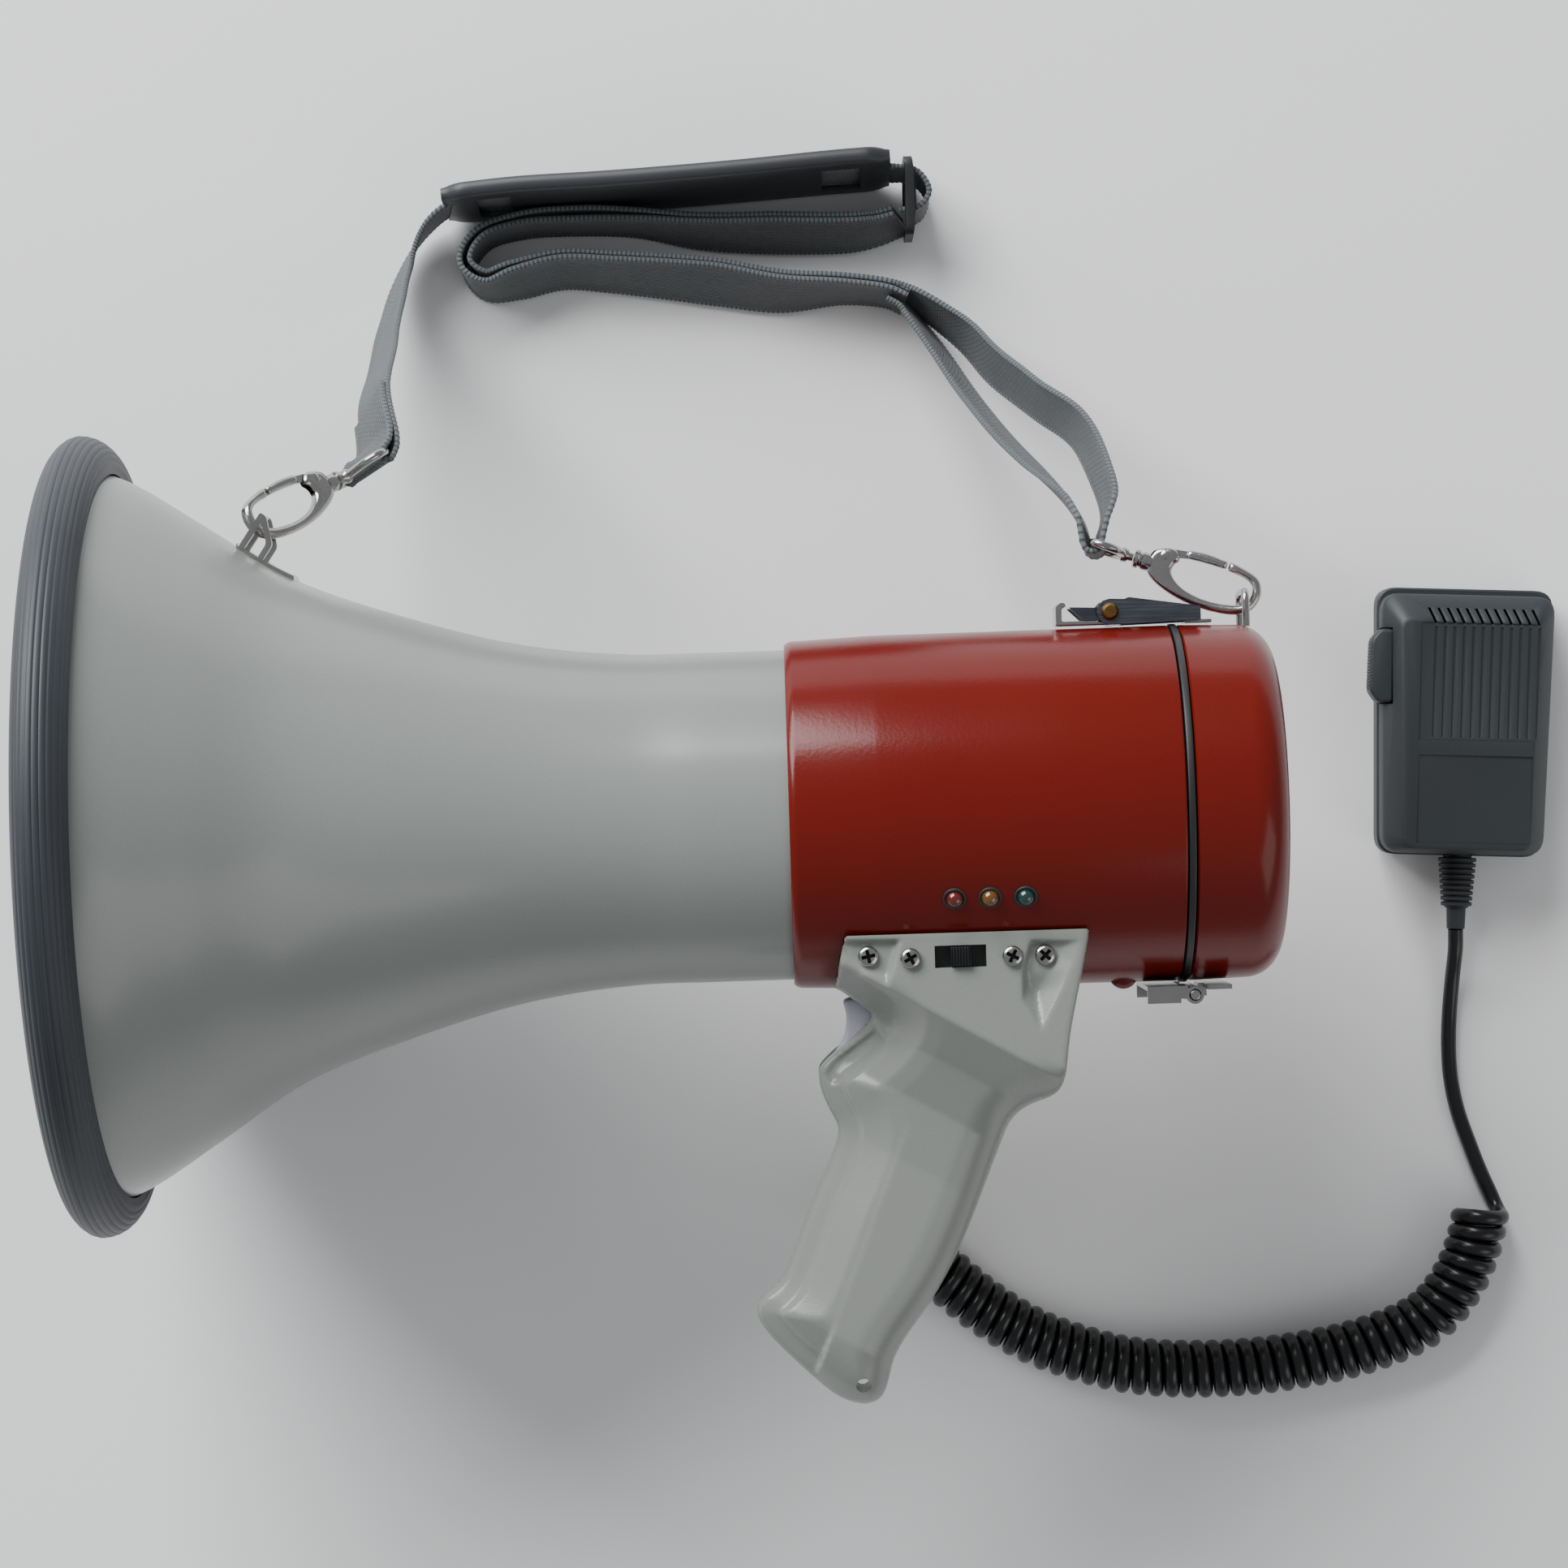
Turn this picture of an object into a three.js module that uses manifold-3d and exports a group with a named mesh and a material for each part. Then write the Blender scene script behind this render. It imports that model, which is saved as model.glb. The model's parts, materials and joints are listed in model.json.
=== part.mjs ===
// Handheld megaphone with shoulder strap and corded fist microphone.
//
// Millimetres. The horn axis is parallel to +X, bell towards -X and battery cover towards +X.
// The pistol grip points along -Y and the switch panel faces +Z. The megaphone lies on its side
// on the plane z = 0, with the strap, the curly cord and the microphone laid out around it.
// While it is modelled, x = 0 is the plane of the rim's crest and y = 0 is the horn axis. The last
// lines move the group so that the origin is under the middle of the object without its cord.

import * as THREE from 'three';
import { mergeVertices } from 'three/addons/utils/BufferGeometryUtils.js';
import Module from 'manifold-3d';

const wasm = await Module();
wasm.setup();

// ---------------------------------------------------------------- driving dimensions
const GAP = 0.3;                 // air between pieces that touch
const RIM_RADIUS = 115;          // crest of the rubber bead
const AXIS_HEIGHT = RIM_RADIUS;  // the bead touches the ground
const BELL_WALL = 2.5;
const NECK_RADIUS = 47.4;        // outside of the bell's neck
const NECK_END = 206;            // rear end of the neck, inside the body
const BULKHEAD_X = 158;          // rear wall of the horn
const BODY_FRONT = 199.5;
const BODY_REAR = 309.7;
const BODY_RADIUS = 51.1;
const BODY_BORE = 48.3;
const SEAL_REAR = 312;
const COVER_REAR = 339;
const COVER_WALL = 2.5;
const HINGE_X = 313;
const HINGE_Y = -54.4;
const LATCH_X = 293;
const LATCH_Y = 55.3;
const BAIL_X = 301;
const BAIL_Y = 54.3;
const PANEL_HALF_WIDTH = 39.5;   // switch panel, from the middle plane
const TRIGGER_X = 219.3;
const TRIGGER_Y = -56;
const CELL_RADIUS = 13.1;        // size C cell
const CELL_PITCH = 14.2;         // cell axis to spine, each way
const CORD_RADIUS = 2.4;
const COIL_RADIUS = 9.1;
const WEBBING_WIDTH = 20;
const WEBBING_THICKNESS = 1.6;
const MIC_LENGTH = 83;
const MIC_TOP_WIDTH = 55;
const MIC_BOTTOM_WIDTH = 51;
const MIC_SPLIT = 12.5;          // height of the parting line
const MIC_HEIGHT = 27;
const AROUND = 40;               // facets round the horn and body

// ---------------------------------------------------------------- materials
const finish = (color, roughness, metalness = 0) =>
  new THREE.MeshStandardMaterial({ color, roughness, metalness });

const look = {
  bellPlastic: () => finish(0xa9aca1, 0.3),
  gripPlastic: () => finish(0xa8aba0, 0.35),
  redPlastic: () => finish(0x9c1f1a, 0.25),
  rimRubber: () => finish(0x43464f, 0.6),
  blackRubber: () => finish(0x17181a, 0.5),
  chrome: () => finish(0xc9c9c6, 0.15, 1),
  steel: () => finish(0x7d8288, 0.35, 1),
  brass: () => finish(0x8a6a2a, 0.35, 1),
  magnet: () => finish(0x3a3a3c, 0.6, 0.5),
  innerPlastic: () => finish(0x2a2b2d, 0.5),
  cellJacket: () => finish(0x3d5a80, 0.4),
  board: () => finish(0x2e5e3a, 0.5),
  triggerPlastic: () => finish(0x7f7d8c, 0.4),
  switchPlastic: () => finish(0x141416, 0.45),
  micPlastic: () => finish(0x3c4042, 0.5),
  cord: () => finish(0x121314, 0.35),
  webbing: () => finish(0x4b5054, 0.9),
  ledRed: () => finish(0x5a1512, 0.2),
  ledAmber: () => finish(0x6a4a12, 0.2),
  ledGreen: () => finish(0x123c34, 0.2),
};

// ---------------------------------------------------------------- shape helpers
const degrees = THREE.MathUtils.degToRad;
const vectors = (pairs) => pairs.map(([a, b]) => new THREE.Vector2(a, b));

// A closed geometry as a solid. Shared corners are merged, and a profile that winds the other
// way is turned round so that its faces point out.
function solid(geometry) {
  const bare = geometry.clone();
  bare.deleteAttribute('normal');
  bare.deleteAttribute('uv');
  const merged = mergeVertices(bare, 1e-4);
  const points = merged.getAttribute('position').array;
  const index = merged.index.array;
  const triangles = [];
  let volume = 0;
  for (let i = 0; i < index.length; i += 3) {
    const [a, b, c] = [index[i], index[i + 1], index[i + 2]];
    if (a === b || b === c || c === a) continue;
    triangles.push([a, b, c]);
    const [p, q, r] = [a, b, c].map((n) => new THREE.Vector3().fromArray(points, n * 3));
    volume += p.dot(q.cross(r));
  }
  const wound = volume < 0 ? triangles.map(([a, b, c]) => [a, c, b]) : triangles;
  return new wasm.Manifold(new wasm.Mesh({
    numProp: 3,
    vertProperties: Float32Array.from(points),
    triVerts: Uint32Array.from(wound.flat()),
  }));
}

function geometryOf(piece) {
  const mesh = piece.getMesh();
  const geometry = new THREE.BufferGeometry();
  geometry.setAttribute('position', new THREE.BufferAttribute(mesh.vertProperties, 3));
  geometry.setIndex(new THREE.BufferAttribute(mesh.triVerts, 1));
  geometry.computeVertexNormals();
  return geometry;
}

const union = (...pieces) => pieces.reduce((whole, piece) => whole.add(piece));
const cut = (piece, ...tools) => tools.reduce((left, tool) => left.subtract(tool), piece);

// A solid of revolution about the horn axis. The profile is [x, radius] pairs, closed on itself
// or with both ends on the axis.
function turned(profile, facets = AROUND) {
  const onAxis = profile[0][1] === 0 && profile[profile.length - 1][1] === 0;
  const ring = onAxis ? profile : [...profile, profile[0]];
  const points = ring.map(([x, r]) => new THREE.Vector2(r, x));
  const geometry = new THREE.LatheGeometry(points, facets);
  geometry.rotateZ(-Math.PI / 2);
  return solid(geometry);
}

// An outline in x and y, extruded from z = low to z = high.
function slab(outline, low, high, holes = []) {
  const shape = new THREE.Shape(vectors(outline));
  holes.forEach((hole) => shape.holes.push(new THREE.Path(vectors(hole))));
  const geometry = new THREE.ExtrudeGeometry(shape, { depth: high - low, bevelEnabled: false });
  geometry.translate(0, 0, low);
  return solid(geometry);
}

function block([x0, y0, z0], [x1, y1, z1]) {
  const geometry = new THREE.BoxGeometry(x1 - x0, y1 - y0, z1 - z0);
  geometry.translate((x0 + x1) / 2, (y0 + y1) / 2, (z0 + z1) / 2);
  return solid(geometry);
}

// A cylinder or cone along z.
function rod(x, y, low, high, radius, { top = radius, facets = 16 } = {}) {
  const geometry = new THREE.CylinderGeometry(top, radius, high - low, facets);
  geometry.rotateX(Math.PI / 2);
  geometry.translate(x, y, (low + high) / 2);
  return solid(geometry);
}

function rodAlongX(low, high, radius, y = 0, z = 0, facets = 16) {
  const geometry = new THREE.CylinderGeometry(radius, radius, high - low, facets);
  geometry.rotateZ(-Math.PI / 2);
  geometry.translate((low + high) / 2, y, z);
  return solid(geometry);
}

const circle = (x, y, radius, facets = 16) =>
  Array.from({ length: facets }, (_, i) => {
    const angle = (2 * Math.PI * i) / facets;
    return [x + radius * Math.cos(angle), y + radius * Math.sin(angle)];
  });

// A round tube along a smooth route.
function tube(route, radius, { sides = 8, steps = 40 } = {}) {
  const path = new THREE.CatmullRomCurve3(route.map((point) => new THREE.Vector3(...point)));
  const section = new THREE.Shape(vectors(circle(0, 0, radius, sides)));
  return new THREE.ExtrudeGeometry(section, { steps, extrudePath: path, bevelEnabled: false });
}

// Webbing that stands on edge: a plan outline either side of the route, extruded by the
// webbing's width, with each corner lifted to the height of the route beside it.
function ribbon(route, steps, { thickness = WEBBING_THICKNESS, width = WEBBING_WIDTH } = {}) {
  const path = new THREE.CatmullRomCurve3(route.map((point) => new THREE.Vector3(...point)));
  const middle = path.getPoints(steps);
  const sides = middle.map((point, i) => {
    const before = middle[Math.max(i - 1, 0)];
    const after = middle[Math.min(i + 1, steps)];
    const across = new THREE.Vector2(before.y - after.y, after.x - before.x).setLength(thickness / 2);
    return [[point.x + across.x, point.y + across.y], [point.x - across.x, point.y - across.y]];
  });
  const outline = [...sides.map((pair) => pair[0]), ...sides.map((pair) => pair[1]).reverse()];
  const heights = [...middle, ...[...middle].reverse()].map((point) => point.z - width / 2);
  const geometry = new THREE.ExtrudeGeometry(new THREE.Shape(vectors(outline)), {
    depth: width,
    bevelEnabled: false,
  });
  const position = geometry.getAttribute('position');
  for (let i = 0; i < position.count; i += 1) {
    const distances = outline.map(([x, y]) => Math.hypot(x - position.getX(i), y - position.getY(i)));
    const nearest = distances.indexOf(Math.min(...distances));
    position.setZ(i, position.getZ(i) + heights[nearest]);
  }
  return solid(geometry);
}

// ---------------------------------------------------------------- the scene graph
const megaphone = new THREE.Group();
const horn = new THREE.Group();    // z = 0 on the horn axis
horn.position.z = AXIS_HEIGHT;
megaphone.add(horn);

function add(name, shape, material, parent = horn) {
  const geometry = shape instanceof THREE.BufferGeometry ? shape : geometryOf(shape);
  const mesh = new THREE.Mesh(geometry, material);
  mesh.name = name;
  parent.add(mesh);
  return mesh;
}

// ---------------------------------------------------------------- horn
// Outside of the bell, [x, radius], from the edge inside the bead back to the neck.
const bellCurve = new THREE.SplineCurve(vectors([
  [2, 106.2], [14.4, 100.9], [34.8, 87.9], [58.8, 72.5], [91, 60.4], [124, 51.4],
  [155, 47.6], [176, NECK_RADIUS], [NECK_END, NECK_RADIUS],
]));
const bellOutside = bellCurve.getPoints(11).map((point) => [point.x, point.y]);

function makeBell() {
  const inside = bellOutside.filter(([x]) => x < BULKHEAD_X - 4)
    .map(([x, r]) => [x, r - BELL_WALL]).reverse();
  const neckBore = NECK_RADIUS - BELL_WALL;
  return turned([
    ...bellOutside,
    [NECK_END, neckBore],
    [BULKHEAD_X + 3, neckBore],
    [BULKHEAD_X + 3, 9.6],
    [BULKHEAD_X, 9.6],
    [BULKHEAD_X, neckBore],
    ...inside,
  ]);
}

const makeRim = () => turned([
  [9.2, 103.9], [9.7, 105.8], [8.6, 110.2], [5, 113.8], [0, RIM_RADIUS], [-3.4, 113.2],
  [-5.6, 110], [-5.6, 105.2], [-3.2, 101], [0.4, 99.4], [4.4, 99.2], [6.4, 100.4],
  [1.6, 103.2], [1.6, 106.9], [5.4, 105.3],
]);

function makeReflector() {
  const cup = turned([
    [52, 0], [53, 8], [57, 16.5], [65, 23.5], [82, 28.4], [112, 31], [140, 33], [148, 36.5],
    [149, 35], [141, 31], [112, 29], [83, 26.4], [67, 21.8], [59.4, 15.6], [55.4, 8], [54.4, 0],
  ], 32);
  const finThickness = 2.4;
  const fin = slab([[100, 29], [100, 53.6], [120, 48.6], [140, 45.6], [140, 32]],
    -finThickness / 2, finThickness / 2);
  return union(cup, ...[90, 210, 330].map((angle) => fin.rotate([angle, 0, 0])));
}

const makeThroatTube = () => turned([
  [163.3, 7], [163.3, 20], [161.3, 20], [161.3, 9.2], [150, 9.2], [75, 14], [75, 12.4], [150, 7],
], 24);

const makeDriverMagnet = () => turned([
  [170, 0], [170, 14], [165.5, 14], [165.5, 42], [168.5, 42], [168.5, 36], [197, 36], [197, 0],
], 32);

const makeDriverDome = () => turned([
  [168.3, 0], [167.6, 5], [163.9, 12], [163.9, 18], [165.2, 18], [165.2, 13.5], [168.8, 6],
  [169.5, 0],
], 24);

add('bell', makeBell(), look.bellPlastic());
add('bell_rim', makeRim(), look.rimRubber());
add('reflector', makeReflector(), look.bellPlastic());
add('throat_tube', makeThroatTube(), look.innerPlastic());
add('driver_magnet', makeDriverMagnet(), look.magnet());
add('driver_dome', makeDriverDome(), look.steel());

// ---------------------------------------------------------------- body and battery cover
const panelScrews = [[232.1, -40.7], [260.6, -40.9]];
const bracketScrews = [[220.4, -39.9], [269.8, -41]];
const LED_SPACING = 9.9;
const LED_MIDDLE_X = 254.6;
const LED_ANGLE = -28.5;         // round the axis from +Z
const ledPlaces = [-1, 0, 1].map((step) => LED_MIDDLE_X + step * LED_SPACING);

// Turns a solid that was made on the +Z side of the body to the indicators' angle.
const toIndicatorAngle = (piece) => piece.rotate([-LED_ANGLE, 0, 0]);

function makeBodyShell() {
  const tubeShape = turned([
    [BODY_FRONT, NECK_RADIUS + GAP], [BODY_FRONT, 48.9], [BODY_FRONT + 1.6, 49.8],
    [BODY_FRONT + 25, 50.8], [BODY_REAR, BODY_RADIUS], [BODY_REAR, BODY_BORE],
    [NECK_END + 2, BODY_BORE], [NECK_END + 1, NECK_RADIUS + GAP],
  ]);
  const ball = solid(new THREE.SphereGeometry(4.2, 12, 8).translate(293.8, -48.6, 6));
  const boss = ball.subtract(rodAlongX(280, 308, BODY_RADIUS - 1, 0, 0, AROUND));
  const ledHoles = ledPlaces.map((x) => toIndicatorAngle(rod(x, 0, 40, 60, 2.8)));
  const switchWindow = block([229.4, -48, 20], [263.6, -33.6, 60]);
  const bracketHoles = bracketScrews.map(([x, y]) => rod(x, y, 20, 60, 2.1, { facets: 10 }));
  return cut(union(tubeShape, boss), ...ledHoles, switchWindow, ...bracketHoles);
}

const makeSeal = () => turned([
  [BODY_REAR + GAP, 48.6], [BODY_REAR + GAP, 51], [BODY_REAR + 0.8, 51.5], [SEAL_REAR - 0.5, 51.5],
  [SEAL_REAR, 51], [SEAL_REAR, 48.6],
]);

function makeRearCover() {
  const front = SEAL_REAR + GAP;
  const corner = (radius, bend, count) => Array.from({ length: count + 1 }, (_, i) => {
    const angle = (Math.PI / 2) * (1 - i / count);
    return [COVER_REAR - bend + bend * Math.cos(angle), radius - bend + bend * Math.sin(angle)];
  });
  const outer = corner(50.7, 10, 4);
  const inner = corner(50.7 - COVER_WALL, 10 - COVER_WALL, 4)
    .map(([x, r]) => [x - COVER_WALL, r]).reverse();
  return turned([
    [COVER_REAR, 0], ...outer.reverse(), [front, BODY_RADIUS], [front, BODY_RADIUS - COVER_WALL],
    ...inner.reverse(), [COVER_REAR - COVER_WALL, 0],
  ]);
}

function makeLed(x) {
  const lens = solid(new THREE.SphereGeometry(2.45, 12, 6).translate(0, 0, 51.2));
  const stem = rod(0, 0, 45, 51.2, 2.45, { facets: 12 });
  return toIndicatorAngle(union(lens, stem)).translate([x, 0, 0]);
}

add('body_shell', makeBodyShell(), look.redPlastic());
add('cover_seal', makeSeal(), look.blackRubber());
add('rear_cover', makeRearCover(), look.redPlastic());
const ledNames = ['led_low', 'led_mid', 'led_high'];
const ledLooks = [look.ledRed, look.ledAmber, look.ledGreen];
ledPlaces.forEach((x, i) => add(ledNames[i], makeLed(x), ledLooks[i]()));

// ---------------------------------------------------------------- inside the body
const HOLDER_FRONT = 214;
const HOLDER_REAR = 326;
const HOLDER_RADIUS = 44;

function makeBatteryHolder() {
  const ends = [HOLDER_FRONT, HOLDER_REAR - 2].map((x) => rodAlongX(x, x + 2, HOLDER_RADIUS, 0, 0, 32));
  const spine = [[1, 11], [11, 1]].map(([y, z]) => block([HOLDER_FRONT, -y, -z], [HOLDER_REAR, y, z]));
  const pull = block([HOLDER_REAR - 1, -8, -1], [HOLDER_REAR + 5, 8, 1]);
  return union(...ends, ...spine, pull);
}

function makeCellPair(ySign, zSign) {
  const length = 50;
  const first = HOLDER_FRONT + 4;
  const profile = [
    [first, 0], [first, 12], [first + 0.6, CELL_RADIUS], [first + length - 1, CELL_RADIUS],
    [first + length, 4], [first + length + 1.4, 4], [first + length + 1.4, 12],
    [first + length + 2, CELL_RADIUS], [first + 2 * length, CELL_RADIUS],
    [first + 2 * length + 1, 4], [first + 2 * length + 2.4, 4], [first + 2 * length + 2.4, 0],
  ];
  return turned(profile, 14).translate([0, ySign * CELL_PITCH, zSign * CELL_PITCH]);
}

function makeContactPlate() {
  const plate = rodAlongX(211, 212.4, 40, 0, 0, 24);
  const posts = [-1, 1].map((side) => rodAlongX(212, 213.6, 5, 0, side * 20));
  return union(plate, ...posts);
}

function makeAmplifierBoard() {
  const plate = rodAlongX(207.6, 209.2, 42, 0, 0, 24);
  const heatSink = block([199, -30, 6], [208, -10, 26]);
  const capacitors = [[22, 12], [22, -12], [-4, -24]].map(([y, z]) => rodAlongX(200, 208, 5, y, z, 12));
  return union(plate, heatSink, ...capacitors);
}

add('battery_holder', makeBatteryHolder(), look.innerPlastic());
const cellCorners = [[1, 1], [1, -1], [-1, 1], [-1, -1]];
cellCorners.forEach(([y, z], i) => add(`cell_pair_${i + 1}`, makeCellPair(y, z), look.cellJacket()));
add('contact_plate', makeContactPlate(), look.brass());
add('amplifier_board', makeAmplifierBoard(), look.board());

// ---------------------------------------------------------------- hinge under the cover
const KNUCKLE_RADIUS = 2.6;
const HINGE_HALF = 20;
const KNUCKLE_SPLIT = 7;
const leafLow = -53;
const leafHigh = -51.7;

function knuckle(low, high) {
  return slab(circle(HINGE_X, HINGE_Y, KNUCKLE_RADIUS, 16), low, high, [circle(HINGE_X, HINGE_Y, 1.7, 12)]);
}

function makeHingeBodyLeaf() {
  const plate = block([299.5, leafLow, -HINGE_HALF], [309, leafHigh, HINGE_HALF]);
  const arms = [[-HINGE_HALF, -KNUCKLE_SPLIT], [KNUCKLE_SPLIT, HINGE_HALF]].map(([low, high]) => union(
    knuckle(low, high),
    block([308, -55.4, low], [311, leafHigh, high]),
  ));
  const skirts = [-HINGE_HALF, HINGE_HALF - 1.4].map((low) =>
    block([299.5, -56.6, low], [309, leafLow + 0.5, low + 1.4]));
  return union(plate, ...arms, ...skirts);
}

function makeHingeCoverLeaf() {
  const plate = block([316.6, leafLow, -HINGE_HALF], [323.5, leafHigh, HINGE_HALF]);
  const half = KNUCKLE_SPLIT - GAP;
  return union(plate, knuckle(-half, half), block([315, -55.4, -half], [317.5, leafHigh, half]));
}

add('hinge_body_leaf', makeHingeBodyLeaf(), look.chrome());
add('hinge_cover_leaf', makeHingeCoverLeaf(), look.chrome());
add('hinge_pin', rod(HINGE_X, HINGE_Y, -HINGE_HALF - 0.8, HINGE_HALF + 0.8, 1.4), look.chrome());

// ---------------------------------------------------------------- toggle latch over the seam
function mirrored(outline, inner, outer, holes = []) {
  return union(slab(outline, inner, outer, holes), slab(outline, -outer, -inner, holes));
}

function makeLatchBase() {
  const foot = block([277.6, 51.7, -6.8], [297, 52.9, 6.8]);
  const endWall = block([277.6, 52.5, -6.8], [279.2, 57.4, 6.8]);
  const cheek = [[279, 52.5], [297, 52.5], [297, 55], [295.4, 57.6], [293, 58], [290, 57], [283, 54.6]];
  return union(foot, endWall, mirrored(cheek, 5.4, 6.8, [circle(LATCH_X, LATCH_Y, 1.8)]));
}

const makeLatchRivet = () => union(
  rod(LATCH_X, LATCH_Y, -9.6, 9.6, 1.5),
  rod(LATCH_X, LATCH_Y, 9.1, 10.2, 2.6, { top: 1.8 }),
  rod(LATCH_X, LATCH_Y, -10.2, -9.1, 1.8, { top: 2.6 }),
);

function makeLatchLever() {
  const nose = Array.from({ length: 7 }, (_, i) => {
    const angle = Math.PI / 2 + (i * Math.PI) / 6;
    return [LATCH_X + 3.7 * Math.cos(angle), LATCH_Y + 3.7 * Math.sin(angle)];
  });
  const flange = [...nose, [319, 52.2], [319, 56.2], [298.5, 59.3], [297.2, 58.8]];
  const top = [[297.2, 57.4], [298.6, 57.9], [319, 54.9], [319, 56.2], [298.5, 59.3], [297.2, 58.8]];
  return union(
    mirrored(flange, 7.3, 8.7, [circle(LATCH_X, LATCH_Y, 1.8)]),
    slab(top, -7.6, 7.6),
  );
}

function makeLatchBail() {
  const frame = new THREE.Shape(vectors([[BAIL_X - 0.9, -6.6], [313.2, -5], [313.2, 5], [BAIL_X - 0.9, 6.6]]));
  frame.holes.push(new THREE.Path(vectors([[302.4, -4.4], [302.4, 4.4], [311.4, 3.4], [311.4, -3.4]])));
  const geometry = new THREE.ExtrudeGeometry(frame, { depth: 1.8, bevelEnabled: false });
  geometry.rotateX(-Math.PI / 2);
  geometry.translate(0, BAIL_Y - 0.9, 0);
  return solid(geometry);
}

const makeLatchStrike = () => union(
  block([314.6, 51.5, -5], [322.4, 52.5, 5]),
  block([314.6, 52, -5], [315.8, 54.2, 5]),
);

add('latch_base', makeLatchBase(), look.chrome());
add('latch_rivet', makeLatchRivet(), look.brass());
add('latch_lever', makeLatchLever(), look.steel());
add('latch_bail', makeLatchBail(), look.chrome());
add('latch_strike', makeLatchStrike(), look.chrome());

// ---------------------------------------------------------------- strap anchors
const STAPLE = { x: 333.6, top: 60.6, nearFoot: 51.2, farFoot: 45.6, near: -7.5, far: -25.5, radius: 1.1 };

function makeRearStrapLoop() {
  const { x, top, nearFoot, farFoot, near, far, radius } = STAPLE;
  const outer = [
    [far - radius, farFoot], [far - radius, top - 1], [far + 1, top + radius], [near - 1, top + radius],
    [near + radius, top - 1], [near + radius, nearFoot], [near - radius, nearFoot],
    [near - radius, top - radius], [far + radius, top - radius], [far + radius, farFoot],
  ];
  const geometry = new THREE.ExtrudeGeometry(new THREE.Shape(vectors(outer)), {
    depth: 2 * radius,
    bevelEnabled: false,
  });
  geometry.rotateY(-Math.PI / 2);
  geometry.translate(x + radius, 0, 0);
  return solid(geometry);
}

// Folded bracket on the bell, in its own frame: x along the bell's slope, y away from it.
const BRACKET = { x: 44.6, y: 83.1, angle: -34.5, barHeight: 9.4 };

function makeBellBracket() {
  const foot = block([0, 0, -7], [17.3, 1.4, 7]);
  const tab = union(
    block([0.6, 0.7, -7.4], [2.2, BRACKET.barHeight + 1, -5.4]),
    block([0.6, 0.7, 5.4], [2.2, BRACKET.barHeight + 1, 7.4]),
    block([0.6, BRACKET.barHeight - 0.8, -7.4], [2.2, BRACKET.barHeight + 1, 7.4]),
  );
  return union(foot, tab);
}

add('rear_strap_loop', makeRearStrapLoop(), look.chrome());
const bracketFrame = new THREE.Group();
bracketFrame.position.set(BRACKET.x, BRACKET.y, 0);
bracketFrame.rotation.z = degrees(BRACKET.angle);
horn.add(bracketFrame);
add('bell_strap_bracket', makeBellBracket(), look.chrome(), bracketFrame);

// ---------------------------------------------------------------- snap hooks
// Each hook is made with the bar that it hangs on at its origin. x runs along the hook towards
// its swivel eye, and the gate is on the +y side.
const HOOK_THICK = 4;
const GATE_PIVOT = 24.5;

function makeHookBody() {
  const outer = [
    [-5.4, 2.4], [-3.4, 5.6], [3.4, 7.2], [6, 7.4], [6, 4.6], [1.6, 4.4], [-2.2, 3.2], [-3.1, 0],
    [-2.2, -3.1], [2.4, -4.8], [10, -5.6], [17, -4.4], [21.4, -1.4], [21.6, 1.6], [19.6, 3.4],
    [22, 6.6], [27.4, 5], [29, 2.4], [29, -2.4], [25.4, -5.2], [18, -7.6], [10, -8.4], [1, -7.6],
    [-4, -5], [-5.6, -1.2],
  ];
  const body = slab(outer, -HOOK_THICK / 2, HOOK_THICK / 2);
  const barrel = rodAlongX(28.6, 33, 2.6, 0, 0, 12);
  const gatePocket = slab(circle(GATE_PIVOT - 1.4, 3.8, 4.6, 14), -1, 1);
  return cut(union(body, barrel), gatePocket);
}

const makeHookGate = () => union(
  slab([[6.4, 4.8], [6.4, 7.2], [13, 7.6], [18.2, 7], [18.2, 4.4], [13, 4.8]], -1.8, 1.8),
  slab([[17, 4.6], [17, 6.8], [23.4, 5.8], [25.6, 4], [25, 2.4], [23, 2], [20.4, 4]], -0.6, 0.6),
);

function makeHookEye() {
  const thick = 1.25;
  const outer = [[34.9, -4], [38, -12.2], [46.6, -12.8], [46.6, 12.8], [38, 12.2], [34.9, 4]];
  const inner = [[37.2, -3], [38.4, -10.8], [44.3, -11], [44.3, 11], [38.4, 10.8], [37.2, 3]];
  const ring = slab(outer, -thick, thick, [inner]).rotate([90, 0, 0]);
  return union(ring, rodAlongX(33.3, 36, 1.3, 0, 0, 12));
}

function addHook(prefix, [x, y, z], direction, droop, flip) {
  const frame = new THREE.Group();
  frame.position.set(x, y, z);
  frame.rotation.set(flip ? Math.PI : 0, degrees(droop), degrees(direction), 'ZYX');
  horn.add(frame);
  add(`${prefix}_hook_body`, makeHookBody(), look.chrome(), frame);
  add(`${prefix}_hook_gate`, makeHookGate(), look.chrome(), frame);
  add(`${prefix}_hook_eye`, makeHookEye(), look.chrome(), frame);
}

const bracketBar = new THREE.Vector3(1.4, BRACKET.barHeight, 0)
  .applyAxisAngle(new THREE.Vector3(0, 0, 1), degrees(BRACKET.angle))
  .add(new THREE.Vector3(BRACKET.x, BRACKET.y, 0));
// The bell's hook hangs off the middle of its bar, so that its jaw clears the bar's corners.
addHook('bell', [bracketBar.x - 0.8, bracketBar.y + 0.2, 0], 30, 44, false);
addHook('rear', [STAPLE.x, STAPLE.top, (STAPLE.near + STAPLE.far) / 2], 160, 7, true);

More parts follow.
